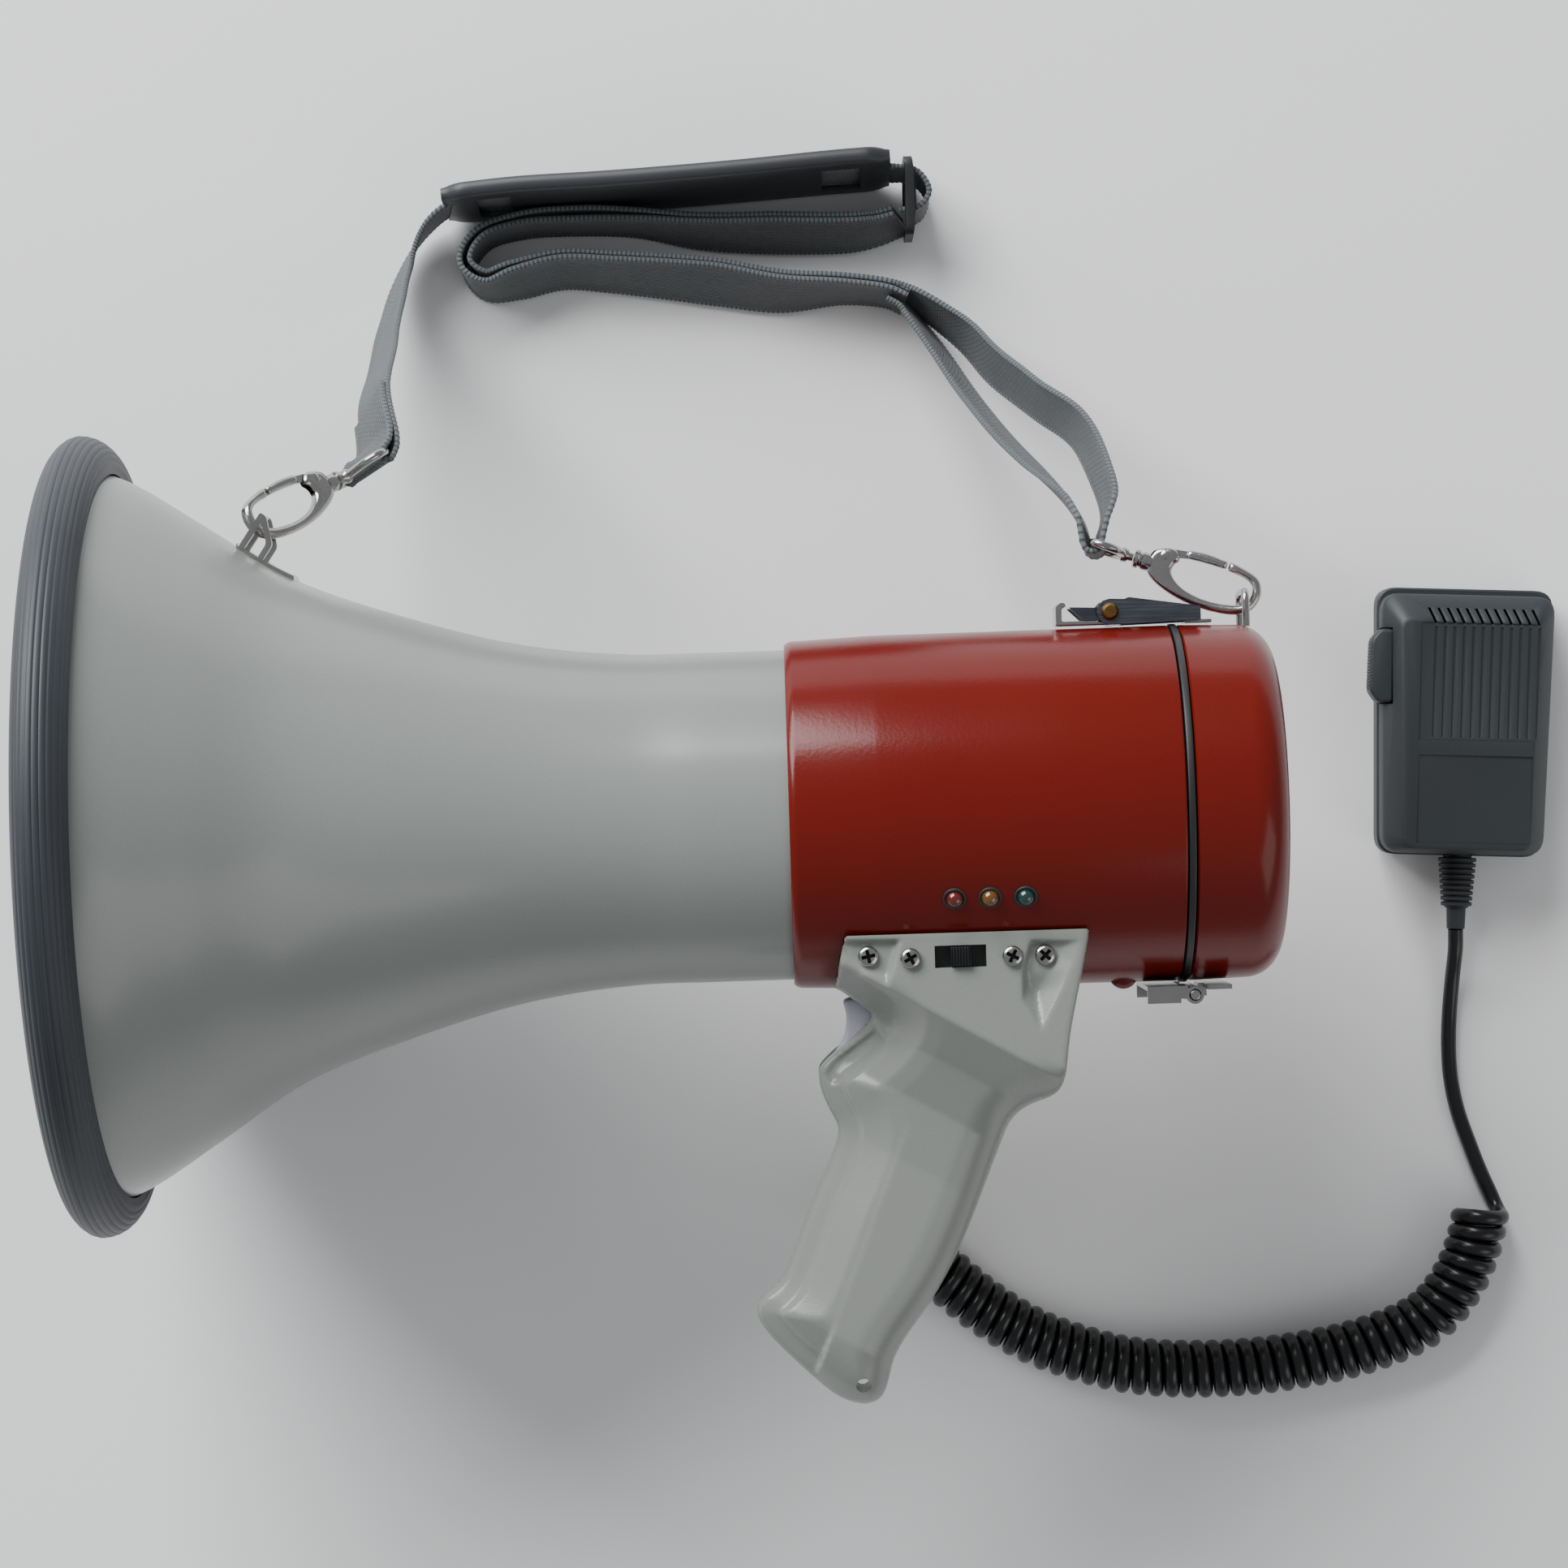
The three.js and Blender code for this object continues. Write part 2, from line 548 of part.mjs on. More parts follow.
// ---------------------------------------------------------------- pistol grip
const gripOutline = [
  [213.9, -32.1], [282.7, -33.1], [279.7, -47.5], [276.1, -62.5], [274.4, -77], [272.6, -81.8],
  [264.8, -85.4], [260.7, -88.6], [258.3, -93.2], [248.9, -116.5], [242.6, -130], [236.2, -140.6],
  [225, -155], [222.8, -164.7], [220.6, -168.6], [216.6, -170.1], [210.8, -168.8], [205.1, -165.1],
  [190.8, -150.8], [186.6, -144.9], [185.7, -141.3], [187.2, -138.1], [192.7, -134.3],
  [195.6, -129.6], [202.8, -111], [208.1, -100.2], [211.9, -90.5], [207.4, -82.9], [205.1, -74.4],
  [206.9, -70.5], [217.6, -62.9], [221.8, -57.4], [212.4, -50.1], [210.6, -49.6], [213.3, -37.3],
];
// Half width of the grip against height: a wide saddle round the body, then a slim handle.
const gripFront = [
  [-30, PANEL_HALF_WIDTH], [-52, PANEL_HALF_WIDTH], [-63, 33], [-73, 25], [-84, 19], [-96, 17],
  [-150, 16], [-164, 12.5], [-171, 9],
];
const gripCavity = [
  [226, -28], [278.6, -28], [273, -60], [270, -74], [257, -84], [251, -100], [239, -128],
  [222, -150], [214, -160], [206, -158], [196, -146], [198, -138], [207, -118], [217, -96],
  [226, -82], [234, -72], [234, -56], [226, -49],
];
const triggerWell = [[203, -50.2], [222, -50.2], [229, -55], [229, -60], [236, -60], [236, -73],
  [229, -73], [226, -76.4], [203, -76.4]];

// A prism along x from pairs of [y, half width], on the +Z side only.
function frontPrism(profile, shrink = 0) {
  const half = profile.map(([y, z]) => [y, z - shrink]);
  const outline = [[profile[0][0], 0], ...half, [profile[profile.length - 1][0], 0]];
  const shape = new THREE.Shape(outline.map(([y, z]) => new THREE.Vector2(-z, y)));
  const geometry = new THREE.ExtrudeGeometry(shape, { depth: 140, bevelEnabled: false });
  geometry.rotateY(Math.PI / 2);
  geometry.translate(165, 0, 0);
  return solid(geometry);
}

const SWITCH = { x: 246.1, y: -40.6 };
const WRIST_HOLE = [215.8, -163.4];
const GLAND = { x: 222, y: -126 };

function makeGripHalf() {
  const inner = GAP / 2;
  const outside = slab(gripOutline, inner, 60).intersect(frontPrism(gripFront));
  const cavity = slab(gripCavity, -1, 60).intersect(frontPrism(gripFront, 2.6));
  return cut(
    outside,
    cavity,
    slab(triggerWell, -1, 5.8),
    rodAlongX(180, 300, BODY_RADIUS + 0.6, 0, 0, AROUND),
    rod(...WRIST_HOLE, -1, 60, 2.2, { facets: 12 }),
    rod(TRIGGER_X, TRIGGER_Y, -1, 11, 1.9, { facets: 12 }),
  );
}

function makeLeftShell() {
  const deep = PANEL_HALF_WIDTH + 5;
  return cut(
    makeGripHalf(),
    block([SWITCH.x - 7.2, SWITCH.y - 3.1, 30], [SWITCH.x + 7.2, SWITCH.y + 3.1, deep]),
    ...bracketScrews.map(([x, y]) => rod(x, y, PANEL_HALF_WIDTH - 2.4, deep, 4.4, { top: 5 })),
    ...[...bracketScrews, ...panelScrews].map(([x, y]) => rod(x, y, 28, deep, 1.8, { facets: 10 })),
  );
}

function makeRightShell() {
  return cut(makeGripHalf().mirror([0, 0, 1]), rod(GLAND.x, GLAND.y, -40, -8, 4.3));
}

function makeScrew([x, y], seat) {
  return union(
    rod(x, y, seat - 8, seat + 0.6, 1.45, { facets: 8 }),
    rod(x, y, seat + GAP, seat + 1.2, 2.8, { facets: 12 }),
    rod(x, y, seat + 1.1, seat + 2.1, 2.8, { top: 1.5, facets: 12 }),
  );
}

const makeTrigger = () => slab([
  [212.9, -53.2], [214.4, -57.5], [213.9, -63.5], [211.2, -68.2], [208.4, -70.6], [210.5, -73.5],
  [219, -73.5], [224.5, -67], [224.5, -57], [221.5, -52.9],
], -5, 5, [circle(TRIGGER_X, TRIGGER_Y, 1.8, 12)]);

const makeTriggerSwitch = () => union(
  block([230.4, -72, -4.6], [239, -61, 4.6]),
  block([227, -67.4, -1.4], [231, -65.2, 1.4]),
);

const makeModeSwitchBody = () => block([SWITCH.x - 12, SWITCH.y - 5, 25], [SWITCH.x + 12, SWITCH.y + 5, 35.6]);

function makeModeSwitchKnob() {
  const ribs = [-2, 0, 2].map((step) =>
    block([SWITCH.x + step - 0.5, SWITCH.y - 2.7, 40.6], [SWITCH.x + step + 0.5, SWITCH.y + 2.7, 41.6]));
  return union(block([SWITCH.x - 2.8, SWITCH.y - 2.7, 36], [SWITCH.x + 2.8, SWITCH.y + 2.7, 41]), ...ribs);
}

add('grip_left_shell', makeLeftShell(), look.gripPlastic());
add('grip_right_shell', makeRightShell(), look.gripPlastic());
add('trigger', makeTrigger(), look.triggerPlastic());
add('trigger_pin', rod(TRIGGER_X, TRIGGER_Y, -10.4, 10.4, 1.5, { facets: 12 }), look.steel());
add('trigger_switch', makeTriggerSwitch(), look.switchPlastic());
add('mode_switch_body', makeModeSwitchBody(), look.switchPlastic());
add('mode_switch_knob', makeModeSwitchKnob(), look.switchPlastic());
['front', 'rear'].forEach((end, i) => {
  add(`panel_screw_${end}`, makeScrew(panelScrews[i], PANEL_HALF_WIDTH), look.chrome());
  add(`bracket_screw_${end}`, makeScrew(bracketScrews[i], PANEL_HALF_WIDTH - 2.4), look.chrome());
});

// ---------------------------------------------------------------- microphone
// Made round its own middle, with its back on the ground, top towards +Y.
const microphone = new THREE.Group();
microphone.position.set(409.9, 21.5, 0);
microphone.rotation.z = degrees(-3.2);
megaphone.add(microphone);

function micOutline(inset) {
  const top = MIC_LENGTH / 2 - inset;
  const wide = MIC_TOP_WIDTH / 2 - inset;
  const narrow = MIC_BOTTOM_WIDTH / 2 - inset;
  const corner = 5;
  return [
    [wide, top - corner], [wide - 1.5, top - 1.5], [wide - corner, top], [corner - wide, top],
    [1.5 - wide, top - 1.5], [-wide, top - corner], [-narrow, corner - top], [1.5 - narrow, 1.5 - top],
    [corner - narrow, -top], [narrow - corner, -top], [narrow - 1.5, 1.5 - top], [narrow, corner - top],
  ];
}

const BUTTON = { y: 16.8, half: 11.4, low: 14.6, high: 23.4 };
const micWall = 2.2;
const buttonWindow = block([-32, BUTTON.y - BUTTON.half - 0.4, BUTTON.low - 0.4],
  [-22, BUTTON.y + BUTTON.half + 0.4, BUTTON.high + 0.4]);
const reliefHole = rodAlongX(-8, 8, 5, 0, 0).rotate([0, 0, 90]).translate([0, -MIC_LENGTH / 2, 9.5]);

function makeMicFront() {
  const chamfer = 3.5;
  return cut(
    union(
      slab(micOutline(0), MIC_SPLIT + GAP, MIC_HEIGHT - chamfer),
      slab(micOutline(chamfer / 2), MIC_HEIGHT - chamfer - 0.1, MIC_HEIGHT - chamfer / 2),
      slab(micOutline(chamfer), MIC_HEIGHT - chamfer / 2 - 0.1, MIC_HEIGHT),
    ),
    slab(micOutline(chamfer + 0.8), MIC_SPLIT - 1, MIC_HEIGHT - micWall),
    buttonWindow,
    reliefHole,
  );
}

const makeMicBack = () => cut(
  union(slab(micOutline(2), 0, 3), slab(micOutline(0), 2.9, MIC_SPLIT)),
  slab(micOutline(micWall + 2), micWall, MIC_SPLIT + 1),
  reliefHole,
);

function makeMicButton() {
  const { y, half, low, high } = BUTTON;
  const teeth = Array.from({ length: 8 }, (_, i) => y - half + 1.6 + i * 2.6);
  return union(
    block([-29.6, y - half, low], [-23, y + half, high]),
    ...teeth.map((at) => block([-30.4, at, low + 0.6], [-29, at + 1.4, high - 0.6])),
  );
}

function makeStrainRelief() {
  const end = MIC_LENGTH / 2;
  const profile = [[end - 5, 0], [end - 5, 4.4], [end + 0.6, 4.4], [end + 0.6, 6], [end + 15.4, 4.8],
    [end + 16, 3.6], [end + 22.6, 3.4], [end + 22.6, 0]];
  return turned(profile, 16).rotate([0, 0, -90]).translate([0, 0, 9.5]);
}

add('mic_back_shell', makeMicBack(), look.micPlastic(), microphone);
add('mic_front_shell', makeMicFront(), look.micPlastic(), microphone);
add('mic_button', makeMicButton(), look.micPlastic(), microphone);
add('mic_capsule', rod(0, 22, 15, 21, 9), look.steel(), microphone);
add('mic_strain_relief', makeStrainRelief(), look.micPlastic(), microphone);

// ---------------------------------------------------------------- cord
const GLAND_LOW = 78;            // height of the gland's mouth
const gripFace = AXIS_HEIGHT - 16.4;
const tailRoute = [
  [222, -126, GLAND_LOW - 0.3], [222, -126, 66], [222, -126, 46], [222.4, -126.3, 30],
  [224.6, -128.4, 17], [229, -132.2, 10.4], [234, -137, 9.2],
];
const coilRoute = [
  [234.3, -137.3, 9.2], [244.7, -146.5, 9.2], [256.3, -156.5, 9.2], [271.2, -165.8, 9.2],
  [287.4, -172.1, 9.2], [302.5, -175.9, 9.2], [327.8, -177.5, 9.2], [353.2, -175.7, 9.2],
  [376.1, -171.1, 9.2], [394.1, -163.3, 9.2], [403.3, -153, 9.2], [408.7, -141.8, 9.2],
  [410.4, -134, 9.2],
];
const leadRoute = [
  [410.6, -133.1, 9.2], [411.6, -126.6, 7.4], [411.6, -118.6, 3.6], [409.6, -110, 2.6],
  [406.8, -100, 2.5], [405.2, -90, 2.5], [404.6, -80, 2.5], [405, -69, 2.7], [405.8, -58, 4.6],
  [406.2, -49, 8.6], [406.3, -42.9, 9.5],
];

function makeGland() {
  const collar = rod(GLAND.x, GLAND.y, gripFace - 4, gripFace - 0.3, 6.4);
  const plug = rod(GLAND.x, GLAND.y, gripFace - 1, gripFace + 6, 4);
  const sleeve = rod(GLAND.x, GLAND.y, GLAND_LOW, gripFace - 3, 3.4, { top: 5 });
  return union(collar, plug, sleeve);
}

add('cord_gland', makeGland(), look.blackRubber(), megaphone);
add('cord_tail', tube(tailRoute, CORD_RADIUS, { steps: 14 }), look.cord(), megaphone);
add('coil_cord', tube(coilRoute, COIL_RADIUS, { sides: 10, steps: 22 }), look.cord(), megaphone);
add('lead_cord', tube(leadRoute, CORD_RADIUS, { steps: 18 }), look.cord(), megaphone);

// ---------------------------------------------------------------- shoulder strap
const GROUND = WEBBING_WIDTH / 2 + 0.2;   // route height of webbing that stands on the ground
const frontRoute = [
  [75.4, 110.4, 74], [76.4, 118, 68], [78.4, 130, 53], [80.4, 143, 39], [82, 157, 24], [85, 170.4, 14],
  [91, 182.6, 12], [101, 189.6, 16], [120, 190.4, 18.4], [150, 191.6, 18.4], [190, 193.6, 18.4],
  [220, 195.4, 17], [238, 196.2, 13], [245, 195.4, 13], [248.6, 190.6, 13], [246, 185.4, 13],
  [240.6, 183.6, 12.6],
];
const slackRoute = [
  [240.2, 182.6, 12], [225, 179.4, GROUND], [200, 180.4, GROUND], [178, 181.6, GROUND],
  [158, 185.4, GROUND], [138, 185.8, GROUND], [122, 185.4, GROUND], [110, 181.6, GROUND],
  [105, 173, GROUND], [111.4, 166.4, GROUND], [122, 168.6, GROUND], [134, 171.6, GROUND],
  [150, 170.2, GROUND], [181.6, 166.6, GROUND], [202, 162, GROUND], [222, 163.8, GROUND],
  [236, 161.6, GROUND], [240.6, 158.8, GROUND],
];
const upperRoute = [
  [238, 160.8, GROUND], [247, 156, 12], [258, 147, 16], [267, 135.8, 26], [278, 124.4, 42], [289.6, 112.6, 60],
];
const lowerRoute = [
  [238, 160, GROUND], [243.4, 153, 11], [250, 142.8, 15], [259, 127, 27], [268, 112.6, 45], [276, 101.6, 60],
];
const rearRoute = [
  [289.9, 112.2, 60.5], [294.8, 100, 74], [296.6, 88, 86], [295.2, 80.6, 92], [294.6, 77, 93.5],
  [294.5, 74.6, 93.6], [292.6, 71.9, 93.5], [290, 71.9, 93.5], [287.2, 74.4, 93.5],
  [287.1, 77.6, 93], [286, 85.6, 84.5], [281.6, 93.8, 71.5], [276.3, 101.2, 60.5],
];

// The slack runs back and forth as two layers that lie together, then parts at its rear end.
const doubled = 2 * WEBBING_THICKNESS + GAP;
add('strap_front', ribbon(frontRoute, 48), look.webbing(), megaphone);
add('strap_slack', union(
  ribbon(slackRoute, 52, { thickness: doubled }),
  ribbon(upperRoute, 12),
  ribbon(lowerRoute, 12),
), look.webbing(), megaphone);
add('strap_rear_end', ribbon(rearRoute, 33), look.webbing(), megaphone);

const padRoute = [[100, 194.2, 18.4], [140, 195.4, 18.4], [190, 197.6, 18.4], [236, 200.4, 18.4]];
add('shoulder_pad', ribbon(padRoute, 8, { thickness: 4.6, width: 36 }), look.blackRubber(), megaphone);

function makeSlideAdjuster() {
  const frame = block([241, 177.6, 0.2], [244, 201.4, 26]);
  const slots = [[179.6, 187.6], [191.6, 199.4]].map(([low, high]) => block([240, low, 2.4], [245, high, 23.6]));
  return cut(frame, ...slots);
}
add('slide_adjuster', makeSlideAdjuster(), look.blackRubber(), megaphone);

// ---------------------------------------------------------------- origin
// The middle of the object's footprint, without the free cord.
const cordNames = ['cord_tail', 'coil_cord', 'lead_cord'];
const footprint = new THREE.Box3();
megaphone.updateMatrixWorld(true);
megaphone.traverse((node) => {
  if (node.isMesh && !cordNames.includes(node.name)) footprint.expandByObject(node, true);
});
const middle = footprint.getCenter(new THREE.Vector3());
megaphone.position.set(-middle.x, -middle.y, 0);

export default megaphone;
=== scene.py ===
"""Looks of the handheld megaphone: horn, body, pistol grip, shoulder strap and corded microphone.

Shapes are worked out in millimetres in the frame the CAD part is modelled in: x runs back from
the crest of the rubber bead, y away from the grip, z up from the ground. y is 0 on the horn axis.
place() turns such a point into the row frame, in metres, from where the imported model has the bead.
"""
import json
import math

import bmesh
import bpy
import numpy as np
from mathutils import Matrix, Vector
from mathutils.geometry import tessellate_polygon


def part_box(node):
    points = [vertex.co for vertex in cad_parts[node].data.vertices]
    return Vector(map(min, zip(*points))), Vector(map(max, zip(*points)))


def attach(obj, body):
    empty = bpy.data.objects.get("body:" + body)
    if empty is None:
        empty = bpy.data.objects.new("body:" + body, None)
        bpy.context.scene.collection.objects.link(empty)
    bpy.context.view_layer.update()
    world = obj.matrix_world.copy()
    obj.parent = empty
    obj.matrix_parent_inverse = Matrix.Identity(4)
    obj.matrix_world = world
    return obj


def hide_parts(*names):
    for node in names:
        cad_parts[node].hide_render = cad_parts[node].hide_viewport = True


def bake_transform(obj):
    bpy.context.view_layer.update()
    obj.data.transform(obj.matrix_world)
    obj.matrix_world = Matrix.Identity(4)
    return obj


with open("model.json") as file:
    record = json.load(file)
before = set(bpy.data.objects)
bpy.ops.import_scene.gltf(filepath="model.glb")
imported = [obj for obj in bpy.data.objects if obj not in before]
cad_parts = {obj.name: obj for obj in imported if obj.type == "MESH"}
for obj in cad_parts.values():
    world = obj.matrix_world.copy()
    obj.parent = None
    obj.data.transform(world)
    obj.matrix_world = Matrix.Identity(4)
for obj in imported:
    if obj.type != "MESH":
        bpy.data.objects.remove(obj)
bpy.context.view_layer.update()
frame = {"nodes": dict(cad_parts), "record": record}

# ------------------------------------------------------------------ driving dimensions, mm
MM = 0.001
RIM_DEPTH = 5.6            # from the front of the bead back to its crest
RIM_RADIUS = 115
BELL_WALL = 2.5
NECK_RADIUS = 47.4
NECK_END = 206
BULKHEAD_X = 158
BODY_FRONT = 199.5
BODY_REAR = 309.7
BODY_RADIUS = 51.1
BODY_BORE = 48.3
SEAL_REAR = 312
COVER_REAR = 339
COVER_WALL = 2.5
GAP = 0.3
PANEL_HALF_WIDTH = 39.5
CORD_RADIUS = 2.4
COIL_RADIUS = 9.1
COIL_HEIGHT = 9.2          # of the winding's axis above the ground
COIL_TURNS = 44
WEBBING_WIDTH = 20
WEBBING_THICKNESS = 1.3
BEAD_PITCH = 1.4           # of the webbing's beaded edge
AROUND = 144               # facets round the horn and body

rim_low, rim_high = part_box("bell_rim")
ORIGIN = Vector((rim_low.x + RIM_DEPTH * MM, (rim_low.y + rim_high.y) / 2, 0))
AXIS = (rim_low.z + rim_high.z) / 2 / MM     # height of the horn axis


def place(x, y, z):
    return ORIGIN + Vector((x, y, z)) * MM


# ------------------------------------------------------------------ camera, lights and world
CAMERA_HEIGHT = 1.376
CAMERA_ROLL = math.radians(-1.8)
camera = bpy.data.objects.new("camera", bpy.data.cameras.new("camera"))
camera.location = (-0.0185, -0.00735, CAMERA_HEIGHT)
camera.rotation_euler = (0, 0, CAMERA_ROLL)
camera.data.lens = 100.6
camera.data.sensor_width = 36
bpy.context.scene.collection.objects.link(camera)
bpy.context.scene.camera = camera


def area_light(name, location, target, width, height, watts, color=(1, 1, 1)):
    light = bpy.data.lights.new(name, "AREA")
    light.shape = "RECTANGLE"
    light.size = width
    light.size_y = height
    light.energy = watts
    light.color = color
    lamp = bpy.data.objects.new(name, light)
    lamp.location = location
    lamp.rotation_euler = (Vector(target) - Vector(location)).to_track_quat("-Z", "Y").to_euler()
    bpy.context.scene.collection.objects.link(lamp)


area_light("window", (-1.3, 1.95, 1.6), (0, 0, 0.05), 2.4, 1.6, 150, (0.97, 0.98, 1))
area_light("far_side", (1.6, -1.2, 1.5), (0, 0, 0.05), 1.6, 1.4, 10)

world = bpy.data.worlds.new("studio")
world.use_nodes = True
world.node_tree.nodes["Background"].inputs["Color"].default_value = (0.95, 0.97, 1, 1)
world.node_tree.nodes["Background"].inputs["Strength"].default_value = 0.33
bpy.context.scene.world = world


# ------------------------------------------------------------------ materials
class Look:
    """A material and short ways to add nodes to it. Textures use the row frame, in metres."""

    def __init__(self, name, roughness, metallic=0.0):
        self.material = bpy.data.materials.new(name)
        self.material.use_nodes = True
        self.nodes = self.material.node_tree.nodes
        self.shader = self.nodes["Principled BSDF"]
        self.set("Roughness", roughness)
        self.set("Metallic", metallic)
        self.where = self.nodes.new("ShaderNodeTexCoord").outputs["Object"]

    def set(self, socket, value):
        self.shader.inputs[socket].default_value = value

    def link(self, source, target):
        self.material.node_tree.links.new(source, target)

    def node(self, kind, inputs=None, **settings):
        made = self.nodes.new(kind)
        for key, value in settings.items():
            setattr(made, key, value)
        for key, value in (inputs or {}).items():
            if isinstance(value, bpy.types.NodeSocket):
                self.link(value, made.inputs[key])
            else:
                made.inputs[key].default_value = value
        return made

    def noise(self, scale, detail=3, where=None, stretch=None):
        where = where or self.where
        if stretch:
            where = self.node("ShaderNodeMapping", {"Vector": where, "Scale": stretch}).outputs[0]
        inputs = {"Vector": where, "Scale": scale, "Detail": detail}
        return self.node("ShaderNodeTexNoise", inputs).outputs["Fac"]

    def math(self, operation, a, b=0.0, c=0.0):
        return self.node("ShaderNodeMath", {0: a, 1: b, 2: c}, operation=operation).outputs[0]

    def spread(self, value, low, high, start=0.3, end=0.7):
        inputs = {"Value": value, "From Min": start, "From Max": end, "To Min": low, "To Max": high}
        return self.node("ShaderNodeMapRange", inputs).outputs["Result"]

    def mix(self, factor, a, b, blend="MIX"):
        mixed = self.node("ShaderNodeMix", data_type="RGBA", blend_type=blend)
        for key, value in ((0, factor), (6, a), (7, b)):
            if isinstance(value, bpy.types.NodeSocket):
                self.link(value, mixed.inputs[key])
            else:
                mixed.inputs[key].default_value = (*value, 1) if key else value
        return mixed.outputs[2]

    def bump(self, height, distance, strength=1.0):
        inputs = {"Height": height, "Distance": distance, "Strength": strength}
        normal = self.node("ShaderNodeBump", inputs).outputs["Normal"]
        self.link(normal, self.shader.inputs["Normal"])

    def paint(self, color):
        self.link(color, self.shader.inputs["Base Color"])

    def dull(self, roughness):
        self.link(roughness, self.shader.inputs["Roughness"])


def shade(color, factor):
    return tuple(min(1, c * factor) for c in color)


def moulded(name, color, roughness, *, grain=1400, depth=0.00003, uneven=0.08, coat=0.0, gloss=0.5):
    """Moulded plastic or rubber: faint mottling, fine grain and uneven gloss."""
    look = Look(name, roughness)
    slow = look.spread(look.noise(14, 4), 0, 1)
    fine = look.noise(grain, 2)
    tone = look.mix(slow, shade(color, 1 - uneven), shade(color, 1 + uneven))
    look.paint(look.mix(look.spread(fine, 0, 0.12), tone, shade(color, 1.35)))
    look.dull(look.spread(look.noise(25, 4), roughness - 0.02, roughness + 0.03))
    look.bump(fine, depth)
    look.set("Specular IOR Level", gloss)
    look.set("Coat Weight", coat)
    look.set("Coat Roughness", 0.08)
    return look.material


def plated(name, color, roughness, *, stretch=(1, 1, 1), uneven=0.12):
    """Bright metal with faint tarnish and hairline scratches."""
    look = Look(name, roughness, 1.0)
    tarnish = look.spread(look.noise(180, 4), 0, 1)
    look.paint(look.mix(tarnish, shade(color, 1 - uneven), color))
    hair = look.noise(2600, 3, stretch=stretch)
    look.dull(look.spread(hair, roughness * 0.7, roughness * 1.5))
    look.bump(hair, 0.000008)
    return look.material


BELL_COLOR = (0.245, 0.262, 0.245)
RED = (0.135, 0.0068, 0.0036)
MIC_COLOR = (0.022, 0.027, 0.030)
finishes = {
    "bell_plastic": moulded("bell_plastic", BELL_COLOR, 0.24, depth=0.000012, uneven=0.025),
    "grip_plastic": moulded("grip_plastic", (0.24, 0.256, 0.232), 0.27, grain=1500, uneven=0.03),
    "red_plastic": moulded("red_plastic", RED, 0.22, grain=900, uneven=0.05, gloss=0.3),
    "rim_rubber": moulded("rim_rubber", (0.030, 0.035, 0.042), 0.5, uneven=0.15),
    "black_rubber": moulded("black_rubber", (0.012, 0.012, 0.013), 0.45),
    "pad_rubber": moulded("pad_rubber", (0.027, 0.029, 0.033), 0.42, grain=2200, uneven=0.15),
    "cord_rubber": moulded("cord_rubber", (0.006, 0.006, 0.007), 0.27, grain=3000, depth=0.00001),
    # painted shade: a dark steel colour for the faces inside the screws' cross recesses
    "recess_painted_shade": plated("recess_painted_shade", (0.035, 0.035, 0.037), 0.45),
    "chrome": plated("chrome", (0.47, 0.455, 0.445), 0.17),
    "plated_steel": plated("plated_steel", (0.125, 0.135, 0.16), 0.34, stretch=(0.03, 1, 1)),
    "brass": plated("brass", (0.22, 0.13, 0.045), 0.32),
    "magnet_steel": plated("magnet_steel", (0.12, 0.12, 0.13), 0.5),
    "aluminium_dome": plated("aluminium_dome", (0.7, 0.7, 0.7), 0.25),
    "inner_plastic": moulded("inner_plastic", (0.022, 0.023, 0.025), 0.5),
    "trigger_plastic": moulded("trigger_plastic", (0.60, 0.59, 0.69), 0.4, uneven=0.04),
    "switch_plastic": moulded("switch_plastic", (0.009, 0.009, 0.010), 0.3, grain=2500),
    "mic_plastic": moulded("mic_plastic", MIC_COLOR, 0.5, grain=2600, depth=0.00006, uneven=0.06),
    "mic_rubber": moulded("mic_rubber", (0.021, 0.025, 0.028), 0.5, uneven=0.06),
    "led_red": moulded("led_red", (0.10, 0.006, 0.004), 0.12, coat=1.0),
    "led_amber": moulded("led_amber", (0.12, 0.05, 0.006), 0.12, coat=1.0),
    "led_green": moulded("led_green", (0.005, 0.035, 0.03), 0.12, coat=1.0),
}


def webbing_look():
    """Woven webbing. The UV map "strap" has millimetres along and across each ribbon."""
    look = Look("webbing", 0.75)
    strap = look.node("ShaderNodeUVMap", uv_map="strap").outputs["UV"]
    parts = look.node("ShaderNodeSeparateXYZ", {"Vector": strap}).outputs
    weave = look.node("ShaderNodeTexBrick", {
        "Vector": strap, "Scale": 1, "Mortar Size": 0.2, "Mortar Smooth": 1.0,
        "Brick Width": 1.9, "Row Height": 1.05,
        "Color1": (1, 1, 1, 1), "Color2": (0.72, 0.72, 0.72, 1), "Mortar": (0, 0, 0, 1),
    })
    yarn = look.math("SUBTRACT", 1, weave.outputs["Fac"])
    edge = look.spread(look.math("ABSOLUTE", parts["Y"]), 0, 1, 8.3, 9.0)
    wave = look.math("SINE", look.math("MULTIPLY", parts["X"], math.pi / BEAD_PITCH))
    beads = look.math("ABSOLUTE", wave)
    fuzz = look.noise(2600, 3)
    body = look.mix(weave.outputs["Color"], (0.014, 0.018, 0.020), (0.080, 0.092, 0.100))
    hem = look.mix(beads, (0.018, 0.024, 0.027), (0.13, 0.15, 0.158))
    cloth = look.mix(edge, body, hem)
    patchy = look.spread(look.noise(45, 3), 0.0, 0.3)
    look.paint(look.mix(patchy, cloth, look.mix(fuzz, (0.028, 0.033, 0.036), (0.10, 0.108, 0.115))))
    relief = look.math("ADD", look.math("MULTIPLY", yarn, look.math("SUBTRACT", 1, edge)),
                       look.math("MULTIPLY", beads, edge))
    look.bump(look.math("ADD", relief, look.math("MULTIPLY", fuzz, 0.35)), 0.0003, 0.9)
    look.set("Sheen Weight", 0.25)
    look.set("Sheen Roughness", 0.5)
    return look.material


